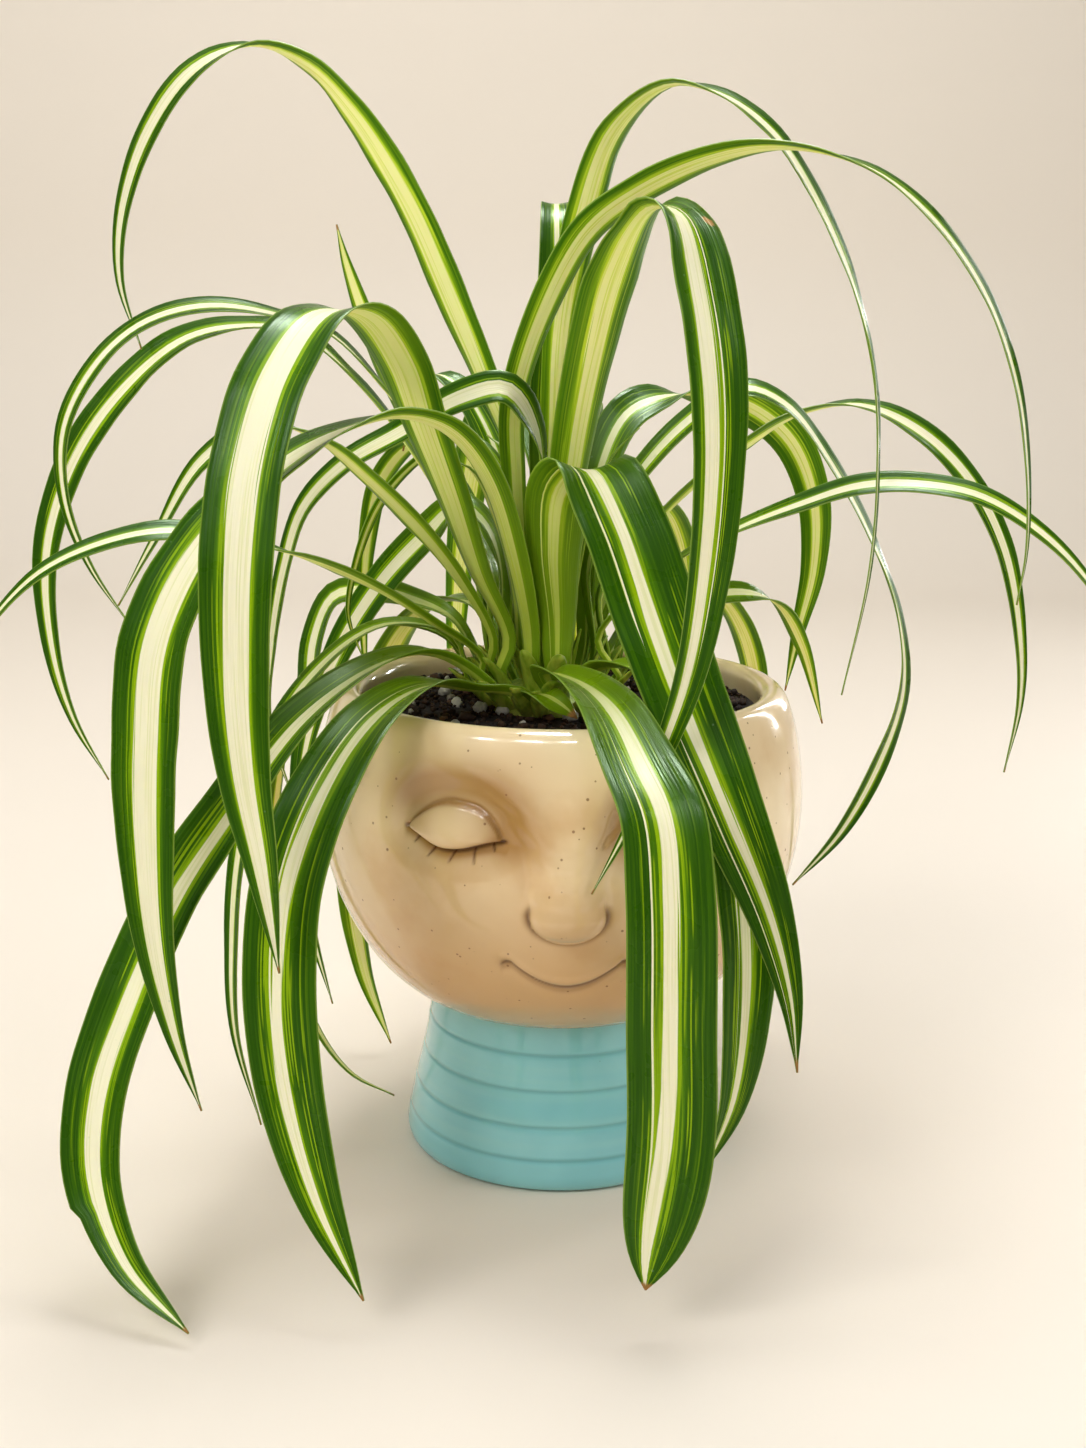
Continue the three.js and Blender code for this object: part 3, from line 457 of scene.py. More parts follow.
leaves = {
    # front, hanging over the lip
    "front_left_low": dict(start=(226, 47), width=18.5, widest=0.55, point=3.6, cream=0.26,
        shift=(0.15, 0.2, 0.15, 0.05, 0), tear=(0.84, -1, 1.6), side=[316, 330, 350, 360],
        path=[(-37, -19, 161), (-52, -36, 163), (-75, -56, 150), (-94, -68, 126), (-108, -76, 105),
        (-119, -88, 80), (-126, -99, 57), (-126, -109, 35), (-116, -121, 17), (-97, -133, 4)]),
    "front_left": dict(start=(249, 46), width=20.5, widest=0.55, point=3, cream=0.19,
        shift=(0.2, 0.15, 0, -0.2, -0.1), extra=-0.28, side=[339, 345, 355, 360],
        path=[(-29, -24, 152), (-41, -44, 157), (-54, -66, 152), (-65, -84, 137), (-73, -95, 115),
        (-75, -103, 90), (-72, -110, 62), (-64, -118, 34), (-52, -127, 10)]),
    "front_centre": dict(start=(272, 50), width=24, widest=0.62, point=7, cream=0.2,
        shift=(0.08, 0.08, 0.05, -0.05, -0.3), extra=-0.42, side=[362, 360],
        path=[(-5, -26, 157), (4, -48, 159.5), (13, -71, 156), (20, -92, 146), (25.5, -104, 135),
        (27.5, -111, 115), (28, -115, 84), (28, -120, 50), (22, -126, 13)]),
    "front_stub": dict(start=(261, 45), width=9, point=2.6, cream=0.2, dryTip=5,
        path=[(-8, -29, 152), (-4, -33, 152), (1, -35.5, 149.5), (4.5, -36, 146.3)]),
    "front_right_low": dict(start=(297, 46), width=19, point=3.5, cream=0.2, shift=(0, 0), extra=-0.3,
        path=[(11, -28, 159), (26, -44, 161), (36, -58, 153), (47, -69, 126), (51, -76, 98),
        (51, -82, 74), (48, -87, 49), (40, -91, 29)]),
    "front_right": dict(start=(276, 64), width=25, root=0.26, point=2.2, cream=0.15,
        shift=(-0.05, -0.1, -0.1, 0.05), extra=-0.5, dryTip=6, side=[366, 366, 362, 358],
        path=[(-1, -12, 172), (-2, -18, 194), (0, -26, 212), (8, -37, 219), (17, -46.5, 204),
        (26.5, -55, 178), (35.5, -63.5, 154.5), (47, -76, 127), (57, -82, 102), (63, -87, 79),
        (65, -91, 59)]),

    # left side
    "left_broad": dict(start=(213, 58), width=20.5, root=0.26, widest=0.5, point=3, cream=0.42,
        shift=(0, 0, 0, -0.06), side=[306, 330, 350, 360, 360],
        path=[(-17.5, -7, 164), (-26.5, -10, 185), (-34, -14, 208), (-42, -19, 231), (-47, -27, 248),
        (-55, -40, 261), (-66, -57, 262), (-76, -73, 247), (-82, -86, 224), (-84, -96, 199),
        (-84, -102, 171), (-82, -106, 146), (-78, -109, 123), (-74, -111, 95)]),
    "left_long": dict(start=(243, 66), width=23, root=0.26, widest=0.55, point=1.7, cream=0.4,
        shift=(0, 0), turn=[(0, 148), (0.12, 130), (0.28, 115), (0.35, 90), (0.42, 70), (0.54, 40),
        (0.65, 20), (0.8, 0), (1, 0)],
        path=[(-11, -11, 168), (-16, -17, 193), (-23, -24, 215), (-33, -34, 229), (-46, -45, 234),
        (-60, -54, 231), (-75, -61, 223), (-89, -67, 211), (-102, -72, 194), (-110, -77, 174),
        (-112, -83, 150), (-112, -89, 124), (-110, -94, 98), (-105, -98, 73), (-98, -100, 51)]),
    "left_reach": dict(start=(205, 47), width=9.5, cream=0.3, turn=[(0, 108), (0.15, 118), (0.38, 120),
        (0.55, 60), (0.7, 45), (1, 40)],
        path=[(-25, -8, 158), (-40, -15, 171), (-57, -22, 183), (-77, -30, 193), (-96, -38, 199),
        (-113, -44, 202), (-130, -49, 199), (-147, -53, 191), (-160, -56, 178), (-172, -58, 159)]),
    "left_olive": dict(start=(198, 56), width=10, cream=0.45, side=[293, 325, (330, -20), 320],
        path=[(-22, -6, 164), (-31, -10, 182), (-43, -15, 199), (-57, -20, 214), (-71, -25, 226),
        (-86, -28, 231), (-104, -29, 221), (-119, -29, 198), (-131, -28, 178)]),
    "left_high": dict(start=(178, 61), width=10, point=2.1, turn=[(0, 90), (0.25, 110), (0.5, 75),
        (0.6, 55), (0.75, 35), (1, 25)],
        path=[(-25, 4, 188), (-41, 5, 221), (-56, 6, 241), (-71, 6, 256), (-89, 5, 262), (-108, 3, 264),
        (-126, 0, 259), (-140, -3, 247), (-150, -6, 228), (-150, -9, 207), (-143, -12, 188),
        (-131, -15, 170)]),
    "left_high_outer": dict(start=(162, 57), width=13.5, point=2.1, turn=[(0, 75), (0.2, 100),
        (0.42, 80), (0.5, 60), (0.58, 35), (0.7, 15), (1, 10)],
        path=[(-29, 10, 187), (-48, 14, 221), (-66, 17, 243), (-82, 19, 256), (-100, 20, 258),
        (-118, 20, 254), (-138, 18, 238), (-154, 15, 215), (-162, 11, 189), (-161, 6, 161),
        (-154, 0, 138), (-142, -6, 119)]),
    "left_tallest": dict(start=(155, 70), width=13, root=0.3, point=2, cream=0.42, turn=[(0, 60),
        (0.2, 120), (0.35, 145), (0.52, 140), (0.6, 120), (0.66, 90), (0.7, 50), (0.76, 20), (1, 10)],
        path=[(-16, 8, 218), (-23, 8, 239), (-33, 11, 263), (-48, 15, 296), (-65, 19, 322),
        (-78, 22, 335), (-95, 25, 341), (-113, 26, 334), (-127, 26, 317), (-136, 24, 293),
        (-137, 20, 272), (-130, 14, 251)]),
    "left_thin": dict(start=(225, 82), width=10.5, cream=0.48, turn=[(0, 135), (0.2, 110), (0.3, 60),
        (0.35, 15), (0.45, 45), (0.6, 50), (1, 35)],
        path=[(-6, -5, 210), (-9, -8, 230), (-17, -13, 241), (-31, -11, 238), (-48, -5, 228),
        (-67, -4, 217), (-79, -4, 204), (-85, -4, 187), (-90, -2, 163), (-92, 0, 137), (-85, 0, 111)]),
    "left_wisp": dict(start=(132, 68), width=6, root=0.5,
        path=[(-16, 13, 198), (-21, 17, 217), (-31, 21, 224), (-45, 25, 217), (-58, 26, 203),
        (-66, 26, 184), (-69, 24, 167), (-66, 23, 157), (-63, 21, 151)]),
    "left_inside": dict(start=(147, 46), width=12, side=[237, (290, -30), 320, 340, 340],
        path=[(-35, 24, 165), (-51, 37, 170), (-66, 47, 171), (-77, 52, 168), (-84, 53, 153),
        (-86, 52, 132), (-89, 48, 101), (-90, 44, 81), (-86, 38, 57), (-78, 32, 29)]),
    "left_rear": dict(start=(143, 58), width=14, root=0.3, turn=[(0, 59), (0.2, 75), (0.3, 70),
        (0.42, 40), (1, 25)],
        path=[(-20, 18, 184), (-25, 22, 197), (-33, 25, 202), (-43, 29, 193), (-57, 32, 178),
        (-70, 33, 159), (-80, 33, 137), (-86, 32, 114), (-89, 31, 90)]),
    "left_drop": dict(start=(180, 46), width=9, side=[270, (290, -20), 320, 340],
        path=[(-34, 4, 163), (-56, 2, 167), (-78, -8, 152), (-92, -20, 128), (-98, -28, 102),
        (-100, -34, 76), (-99, -40, 49), (-91, -46, 21)]),
    "left_hook": dict(start=(163, 46), width=9,
        path=[(-38, 12, 162), (-62, 14, 164), (-82, 9, 144), (-91, 4, 110), (-89, 2, 70), (-81, 2, 36),
        (-69, 4, 16), (-55, 8, 6)]),
    "left_pointed": dict(start=(127, 53), width=13, root=0.28, point=2.4, cream=0.4, side=[218, 300,
        340],
        path=[(-24.5, 28, 184.5), (-37, 40, 207), (-51, 45, 229), (-62, 48, 254), (-70, 50, 277),
        (-73, 50, 290)]),

    # back
    "back_left_low": dict(start=(130, 46), width=15, point=2.8,
        path=[(-26, 36, 166), (-42, 52, 166), (-58, 64, 148), (-69, 68, 106), (-74, 66, 66),
        (-70, 60, 32), (-60, 54, 5)]),
    "back_curl": dict(start=(109, 59), width=14, root=0.3, cream=0.12,
        path=[(-16, 42, 193), (-23, 52, 221), (-34, 58, 238), (-43, 62, 242), (-50, 66, 235),
        (-54, 69, 216)]),
    "back_left": dict(start=(114, 47), width=10,
        path=[(-20, 38, 172), (-36, 56, 205), (-50, 70, 218), (-62, 76, 206), (-68, 80, 182),
        (-70, 82, 154), (-69, 82, 128)]),
    "back_upright": dict(start=(101, 66), width=13.5, root=0.3, cream=0.15,
        path=[(-5, 19, 188), (-4, 23, 236), (-2, 26, 273), (-2, 31, 290), (-2, 41, 296), (-1, 53, 284),
        (0, 61, 262), (0, 65, 236)]),
    "back_long": dict(start=(83, 47), width=17,
        path=[(4, 45, 190), (8, 80, 200), (10, 112, 180), (10, 132, 140), (8, 140, 95), (5, 138, 52),
        (3, 132, 22)]),
    "back_left_high": dict(start=(90, 57), width=16,
        path=[(-4, 46, 212), (-16, 80, 238), (-28, 108, 222), (-36, 128, 184), (-40, 137, 134),
        (-40, 136, 88)]),
    "back_right": dict(start=(67, 47), width=17,
        path=[(20, 46, 184), (32, 78, 196), (42, 106, 180), (48, 122, 140), (48, 126, 95),
        (45, 124, 55), (42, 118, 32)]),
    "back_right_low": dict(start=(51, 46), width=12,
        path=[(28, 38, 166), (50, 60, 170), (66, 80, 150), (74, 90, 110), (74, 92, 70), (70, 88, 35)]),
    "back_low": dict(start=(99, 46), width=12,
        path=[(-12, 48, 166), (-18, 76, 160), (-22, 98, 130), (-24, 106, 90), (-24, 104, 55)]),
    "back_tall": dict(start=(76, 67), width=13,
        path=[(3, 30, 205), (7, 58, 230), (9, 90, 226), (11, 118, 200), (11, 136, 158),
        (10, 142, 118)]),

    # right side
    "right_fold": dict(start=(300, 78), width=20, root=0.28, point=1.45, cream=0.3,
        shift=(0, 0, -0.2, -0.25, -0.1), extra=0.22, scar=(0.465, 0.8, 1.3), turn=[(0, -150),
        (0.3, -145), (0.38, -140), (0.43, -90), (0.47, -40), (0.55, -20), (0.7, -10), (0.85, 10),
        (1, 25)],
        path=[(-1, -8, 183), (3, -12, 217), (8, -19, 247), (15, -30, 275), (23, -41, 290),
        (31, -54, 288), (37, -65, 266), (40, -73, 241), (40, -75.5, 215), (38, -74.5, 189),
        (34.5, -74, 168), (29, -73.5, 150), (19.5, -76.5, 128), (8, -81, 107)]),
    "right_tallest": dict(start=(90, 84), width=12.5, point=1.4, cream=0.4, turn=[(0, -165),
        (0.35, -155), (0.42, -140), (0.48, -90), (0.52, -65), (0.6, -58), (0.68, -66), (0.75, -76),
        (1, -60)],
        path=[(-3, 8, 193), (-2, 9, 227), (0, 9, 261), (6, 7, 290), (15, 4, 315), (30, -1, 327),
        (45, -6, 324), (60, -10, 313), (73, -15, 293), (83, -21, 270), (89, -27, 244), (90, -33, 216),
        (88, -37, 188), (81, -42, 155)]),
    "right_arch": dict(start=(178, 80), width=12.5, cream=0.36, turn=[(0, -165), (0.25, -138),
        (0.37, -140), (0.48, -127), (0.58, -90), (0.63, -68), (0.72, -60), (1, -50)],
        path=[(-14, -1, 213), (-14, -3, 237), (-6, -7, 263), (7, -11, 286), (22, -15, 297),
        (41, -20, 305), (60, -25, 308), (82, -31, 303), (99, -36, 291), (115, -41, 270),
        (125, -45, 245), (129, -48, 221), (130, -49, 198), (128, -50, 183)]),
    "right_mid": dict(start=(14, 68), width=10, point=4, turn=[(0, -77), (0.25, -40), (0.4, -62),
        (0.65, -75), (0.76, -60), (0.86, -20), (1, 0)],
        path=[(9, 4, 188), (24, 8, 214), (39, 10, 230), (55, 11, 240), (69, 11, 235), (83, 11, 218),
        (97, 11, 194), (107, 11, 168), (109, 9, 146), (102, 4, 124), (89, -5, 103), (73, -14, 88)]),
    "right_high": dict(start=(30, 56), width=11, point=2.1, turn=[(0, -66), (0.2, -105), (0.35, -118),
        (0.47, -92), (0.52, -55), (0.6, -38), (0.75, -30), (1, -30)],
        path=[(13, 12, 176), (28, 18, 195), (44, 23, 210), (60, 27, 222), (76, 30, 231), (95, 32, 234),
        (115, 33, 226), (132, 32, 210), (144, 30, 188), (150, 28, 162), (151, 25, 139),
        (146, 20, 116)]),
    "right_reach": dict(start=(338, 52), width=8.5, cream=0.36, side=[68, (60, 20), (75, 45), (75, 50),
        (65, 40)],
        path=[(12, -5, 164), (24, -9, 180), (38, -13, 192), (54, -17, 201), (70, -21, 208),
        (87, -25, 214), (103, -29, 215), (120, -33, 212), (137, -37, 202), (151, -40, 188),
        (163, -43, 169), (170, -45, 146)]),
    "right_rear": dict(start=(46, 66), width=14, point=2.6, cream=0.2, turn=[(0, -47), (0.15, -40),
        (0.28, -25), (0.38, -25), (0.44, -90), (0.5, -150), (0.6, -170), (1, -175)],
        path=[(9, 18, 190), (13, 24, 216), (22, 32, 232), (42, 42, 237), (61, 50, 233), (77, 56, 221),
        (86, 60, 201), (87, 62, 177), (83, 63, 156), (79, 63, 134)]),
    "right_small": dict(start=(33, 46), width=8, point=2.4, turn=[(0, -66), (0.3, -40), (0.5, -30),
        (0.6, -95), (0.7, -150), (1, -165)],
        path=[(20, 20, 158), (36, 30, 168), (58, 42, 172), (73, 50, 167), (83, 56, 152),
        (92, 60, 123)]),

    # young leaves in the middle
    "young_left": dict(start=(205, 73), width=8,
        path=[(-15, -4, 182), (-21, -6, 203), (-28, -9, 217), (-37, -12, 220)]),
    "young_back": dict(start=(137, 78), width=5,
        path=[(-9.5, 10, 190), (-12, 14, 206), (-17, 22, 219), (-24, 32, 224)]),
    "young_right": dict(start=(0, 80), width=6.5,
        path=[(5, 1, 180), (9, 0, 202), (15, -2, 220), (23, -5, 229)]),
}

blade = {
    "crown": Vector((-3, 2, 122)),  # every blade starts on a dome round this point
    "radius": 30.3,
    "thickness": 0.4,
    "step": 3.2,  # length of one row of faces
    "columns": 10,
    "fewest": 16,  # rows of a short blade
    "straight": 8,  # length of the straight start
    "widest": 0.42,  # where it is widest, as a share of its length
    "ease": 0.03,  # share of the length over which a turn is smoothed
    "root": 0.34,
    "point": 1.7,
    "tip": 0.25,  # half width of the tip
    "fold": (34, 10),  # slope of the channel at the root and beyond, degrees
    "foldReach": 0.35,  # share of the length over which the channel opens
    "foldCurve": 1.5,
    "wave": 0.35,  # height of the ripples at the edge
    "waveFrom": (0.12, 0.5),
    "waveHalf": 10,  # half width of a blade that ripples in full
    "lapse": (38, 60),  # length of a ripple
    "ripples": ((1, 6.3), (0.5, 14)),
    "creams": (0.28, 0.38),
    "shifts": (0.08, 0.1),
    "tearEdge": 0.02,
    "dryTip": 3,
}


def listAt(rows, t):
    # a row read off a list at equal steps
    place = t * (len(rows) - 1)
    k = min(int(place), len(rows) - 2)
    return [a + (b - a) * (place - k) for a, b in zip(rows[k], rows[k + 1])]


def turnAt(table, t):
    # eased over the bends of its table
    total = 0
    for place in (t - blade["ease"], t, t + blade["ease"]):
        k = 0
        while k < len(table) - 2 and place > table[k + 1][0]:
            k += 1
        (start, first), (end, second) = table[k:k + 2]
        total += first + (second - first) * min(max((place - start) / (end - start), 0), 1)
    return total / 3


def leftAt(leaf, t, along):
    if "turn" in leaf:
        top = Vector((0, -1, 0))
        top = (top - along * top.dot(along)).normalized()
        turn = math.radians(turnAt(leaf["turn"], t))
        return top.cross(along) * math.cos(turn) + top * math.sin(turn)
    level = leaf["start"][0] + 90
    rows = [row if isinstance(row, tuple) else (row, 0) for row in leaf.get("side", (level, level))]
    left = compass(*listAt(rows, t))
    return (left - along * left.dot(along)).normalized()


def halfWidthAt(leaf, t):
    root = leaf.get("root", blade["root"])
    widest = leaf.get("widest", blade["widest"])
    if t < widest:
        share = root + (1 - root) * math.sin(t / widest * math.pi / 2)
    else:
        share = 1 - ((t - widest) / (1 - widest)) ** leaf.get("point", blade["point"])
    return max(leaf["width"] / 2 * share, blade["tip"])


def leafPiece(name, leaf, order):
    draw = random.Random(order)
    out = compass(*leaf["start"])
    root = blade["crown"] + out * blade["radius"]
    line = smoothLine([root, root + out * blade["straight"]] + leaf["path"])
    length = lengths(line)[-1]
    rows = max(blade["fewest"], round(length / blade["step"]))
    middles = placesAt(line, [length * i / rows for i in range(rows + 1)])
    frames = []
    for i in range(rows + 1):
        along = (middles[min(i + 1, rows)] - middles[max(i - 1, 0)]).normalized()
        left = leftAt(leaf, i / rows, along)
        frames.append((left, along.cross(left)))
    phases = [draw.uniform(0, wholeTurn) for _ in range(4)]
    lapse = draw.uniform(*blade["lapse"])
    marks = {"wide": leaf["width"], "seed": order, "extra": leaf.get("extra", 0)}
    marks["cream"] = leaf.get("cream", draw.uniform(*blade["creams"]))
    shifts = leaf.get("shift", [draw.uniform(-most, most) for most in blade["shifts"]])
    shifts = [(shift,) for shift in shifts]
    # a blade without a tear or a scar has it beyond its tip
    tear = leaf.get("tear", (2, 1, 0))
    scar = leaf.get("scar", (2, 0, 1))
    dryTip = leaf.get("dryTip", blade["dryTip"])

    bm = bmesh.new()
    layers = {mark: bm.verts.layers.float.new(mark) for mark in bladeMarks}
    uv = bm.loops.layers.uv.new("UVMap")
    bmesh.ops.create_grid(bm, x_segments=rows, y_segments=blade["columns"], size=0.5)
    for face in bm.faces:
        for loop in face.loops:
            loop[uv].uv = (loop.vert.co.x + 0.5, loop.vert.co.y + 0.5)
    for vert in bm.verts:
        t = vert.co.x + 0.5
        across = vert.co.y * 2
        i = round(t * rows)
        left, up = frames[i]
        half = halfWidthAt(leaf, t)
        steep, shallow = blade["fold"]
        fold = math.radians(steep - (steep - shallow) * min(1, t / blade["foldReach"]))
        reach = across * half * math.cos(fold)
        if t > tear[0] and across * tear[1] > 0:
            reach -= across * tear[2] * (1 - smoothstep(tear[0] + blade["tearEdge"], 1, t))
        lift = half * math.sin(fold) * abs(across) ** blade["foldCurve"]
        side = 0 if across > 0 else 2
        ripple = sum(size * math.sin(t * length / lapse * pace + phases[side + k])
                     for k, (size, pace) in enumerate(blade["ripples"]))
        room = smoothstep(*blade["waveFrom"], t) * min(half / blade["waveHalf"], 1)
        lift += blade["wave"] * ripple * across * across * room
        vert.co = middles[i] + left * reach + up * lift
        scarred = math.hypot((t - scar[0]) * length / scar[2], (across - scar[1]) * half / scar[2])
        marks["across"] = across
        marks["along"] = t * length
        marks["shift"] = listAt(shifts, t)[0]
        marks["dry"] = max(bell(scarred), 1 - smoothstep(0, dryTip, (1 - t) * length))
        for mark, layer in layers.items():
            vert[layer] = marks[mark]
    piece = finishPiece("blade_" + name, bm, (leafTop, leafUnder, leafEdge), "leaf", "leaf_" + name)
    shell = thicken(piece, blade["thickness"])
    shell.material_offset = 1
    shell.material_offset_rim = 2
    return piece


for order, (name, leaf) in enumerate(leaves.items(), start=1):
    leafPiece(name, leaf, order)
print("leaves:", len(leaves))


# glazed bowl with the sleeping face

bowl = {
    # radius and height of the outer wall and lip, then of the inside, as in the solid
    "wall": [(44.9, 52.3), (50.5, 56), (57.5, 62.5), (63.5, 70.5), (68.6, 80), (72.6, 90.5),
             (75.2, 102), (76.2, 114), (75.7, 125), (73.9, 136), (71.4, 144.5), (69.2, 148.4),
             (66.3, 150), (63.4, 149), (62, 146.5), (62.6, 140)],
    "inside": [(65.6, 125), (66.2, 110), (62, 90), (50, 72), (34, 62), (0, 61.3)],
    # degrees and steps of each sector, from the left side round the face to the back
    "start": -60,
    "sectors": [(16, 16), (18.5, 51), (18.5, 51), (14, 18), (18.5, 51), (18.5, 51), (16, 16),
                (80, 20), (80, 20), (80, 20)],
    "outside": 13,  # how many points of the wall lead up to the crest
    "lastFace": 0.5,
    # size of a face by height
    "fineness": [(52, 1.2), (66, 0.9), (71, 0.45), (86, 0.45), (92, 0.55), (110, 0.5), (114, 0.42),
                 (130, 0.42), (134, 0.7), (142, 1.0), (150, 1.1)],
}

# soft marks, such as a crease, or pooled glaze with painted shade, are given as strength, place and half
# width
face = {
    "turn": 1.2,  # degrees to the right
    "scale": 74,  # radius at which angles become mm across
    "heights": (56, 149),
    "sides": (50, 60),  # degrees over which the relief ends
    "skin": 1.6,  # how far inside the outer wall a point still belongs to it
    "hollow": {"across": 33, "height": 122, "halfWidth": 25, "halfHeight": 18, "depth": 3.8,
               "round": 2.3, "edge": (0.35, 1.12), "fade": (103, 119), "brow": (109, 127),
               "lean": 0.35, "poolAndShade": (1.1, 0.7, 0.36)},
    "lid": {"across": 33.4, "halfWidth": 15, "chord": 119.75, "tilt": 0.65, "upper": 9.3,
            "lower": 4.6, "lowest": 0.18, "step": 0.9, "dome": 3.1, "domeRound": 2.4,
            "outerRound": 1.9, "innerRound": 3.2, "outerReach": 0.84, "innerReach": 1.1,
            "upperRound": 0.9, "lowerRound": 1.3, "end": 1.25, "tail": (1.02, 1.14),
            "crease": (0.45, 0, 0.5), "creasePoolAndShade": (0.7, 0, 0.9), "line": (0.9, 0.25, 0.55),
            "lineInk": (0.95, 0.15, 0.5), "linePoolAndShade": (0.9, 1.2, 1.9)},
    "lashes": [((45.1, 117.7), (46.3, 115.9)), ((39.5, 115.2), (41.3, 112.6)),
               ((33, 115), (34.3, 111.9)), ((27, 116.1), (26.7, 112.1)),
               ((21.4, 118.2), (20.9, 116.2))],
    "lash": {"width": 0.5, "taper": 0.28, "depth": 0.5, "ink": 0.9},
    "nose": {"height": 98, "below": 8.2, "blend": 8, "ballRound": 0.52, "ridge": (0.1, 1.3), "low": 5,
             "crease": (1, 1.02, 0.05), "creaseDepth": 0.5, "creaseInk": 0.75,
             "poolAndShade": (0.9, 1.06, 0.12), "tan": 0.35, "tanReach": 14},
    "noseRise": [(98, 9.2), (103, 8), (108, 6.4), (113, 5.2), (118, 4.1), (126, 2.5), (134, 0.9),
                 (140, 0)],
    "noseWidth": [(98, 10.8), (103, 10), (108, 9), (118, 10.4), (126, 14), (134, 20), (140, 26)],
    "mouth": {"height": 73.6, "curve": 0.029, "half": 17, "corner": 20.5, "depth": 0.9,
              "hook": (0.7, 1.5), "fade": (1, 0.6), "groove": (1, 0, 0.6), "above": (0.6, 1.9, 1.5),
              "below": (0.4, -2.4, 2), "poolAndShade": (0.8, -0.9, 1.3), "ink": (0.8, -0.05, 0.42),
              "dimple": (19, 82), "dimpleSize": 2.4, "dimpleDepth": 0.7, "dimplePoolAndShade": 0.6},
    "cheek": {"across": 36, "height": 95, "halfWidth": 17, "halfHeight": 13, "rise": 1.8,
              "tan": 0.45},
}


def segmentGap(x, z, start, end):
    # distance to a short straight line, and the share along it
    line = Vector(end) - Vector(start)
    off = Vector((x, z)) - Vector(start)
    share = min(max(off.dot(line) / line.length_squared, 0), 1)
    return (off - line * share).length, share


def eyeRelief(s, z):
    hollow, lid = face["hollow"], face["lid"]
    power = hollow["round"]
    r = ((abs(s - hollow["across"]) / hollow["halfWidth"]) ** power
         + (abs(z - hollow["height"]) / hollow["halfHeight"]) ** power) ** (1 / power)
    lower = smoothstep(*hollow["fade"], z)
    brow = smoothstep(*hollow["brow"], z + hollow["lean"] * (hollow["across"] - s))
    height = -hollow["depth"] * (1 - smoothstep(*hollow["edge"], r)) * lower
    # darker round the eye and most under the brow: pooled glaze and painted shade from the light above
    poolAndShade = stroke(hollow["poolAndShade"], r) * lower * brow
    ink = 0
    x = (s - lid["across"]) / lid["halfWidth"]
    if abs(x) > lid["end"]:
        return height, poolAndShade, ink
    chord = lid["chord"] + lid["tilt"] * x
    inner = max(1 - abs(x) ** lid["outerRound" if x > 0 else "innerRound"], 0)
    upper = lid["upper"] * inner ** lid["upperRound"]
    turn = (x - lid["lowest"]) / lid["outerReach" if x > lid["lowest"] else "innerReach"]
    below = lid["lower"] * max(math.cos(math.pi / 2 * min(max(turn, -1), 1)), 0) ** lid["lowerRound"]
    reach = upper if z > chord else below
    off = abs(z - chord)
    if abs(x) < 1 and off < reach:
        v = off / max(reach, 1e-6)
        height += lid["step"] * (1 - smoothstep(0.9, 1, v)) * smoothstep(0, 0.1, 1 - abs(x))
        height += lid["dome"] * (max(1 - abs(x) ** lid["domeRound"], 0) * (1 - v * v)) ** 0.5
    tail = 1 - smoothstep(*lid["tail"], abs(x))
    aboveLid = z - chord - upper
    height -= stroke(lid["crease"], aboveLid) * tail
    # pooled glaze and painted shade in the crease above the lid
    poolAndShade += stroke(lid["creasePoolAndShade"], aboveLid) * tail
    underLid = chord - below - z
    height -= stroke(lid["line"], underLid) * tail
    ink += stroke(lid["lineInk"], underLid) * tail
    # pooled glaze and painted shade along the line under the lid
    poolAndShade += stroke(lid["linePoolAndShade"], underLid) * tail
    lash = face["lash"]
    for start, end in face["lashes"]:
        gap, share = segmentGap(s, z, start, end)
        hair = bell(gap / (lash["width"] - lash["taper"] * share))
        height -= lash["depth"] * hair
        ink = max(ink, lash["ink"] * hair)
    return height, poolAndShade, ink


def noseRelief(m, z):
    # a round tip whose upper half runs out into the soft ridge between the eyes
    nose = face["nose"]
    above = max(z - nose["height"], 0)
    x = abs(m) / between(face["noseWidth"], z)
    rho = math.hypot(x, min(z - nose["height"], 0) / nose["below"])
    ball = max(1 - rho * rho, 0) ** nose["ballRound"]
    soft = 1 - smoothstep(*nose["ridge"], x)
    share = smoothstep(0, nose["blend"], above)
    low = 1 - smoothstep(0, nose["low"], above)
    crease = stroke(nose["crease"], rho) * low
    height = between(face["noseRise"], z) * (ball + (soft - ball) * share)
    # pooled glaze and painted shade round the base of the nose tip
    poolAndShade = stroke(nose["poolAndShade"], rho) * low
    poolAndShade += nose["tan"] * ball * (1 - smoothstep(0, nose["tanReach"], above))
    return height - nose["creaseDepth"] * crease, poolAndShade, nose["creaseInk"] * crease


def mouthRelief(m, z):
    mouth = face["mouth"]
    wide = abs(m)
    reach = min(wide, mouth["half"])
    lineHeight = mouth["height"] + mouth["curve"] * reach * reach
    q = max(wide - mouth["half"], 0) / (mouth["corner"] - mouth["half"])
    up, down = mouth["hook"]
    lineHeight += up * q - down * q * q
    off = z - lineHeight
    before, after = mouth["fade"]
    there = 1 - smoothstep(mouth["corner"] - before, mouth["corner"] + after, wide)
    x, y = mouth["dimple"]
    dimple = bell(math.hypot(wide - x, z - y) / mouth["dimpleSize"])
    height = -mouth["depth"] * (stroke(mouth["groove"], off) * there) + stroke(mouth["above"], off) * there
    height -= mouth["dimpleDepth"] * dimple + stroke(mouth["below"], off) * there
    # pooled glaze and painted shade under the lip and in the dimples at its corners
    poolAndShade = stroke(mouth["poolAndShade"], off) * there + mouth["dimplePoolAndShade"] * dimple
    return height, poolAndShade, stroke(mouth["ink"], off) * there


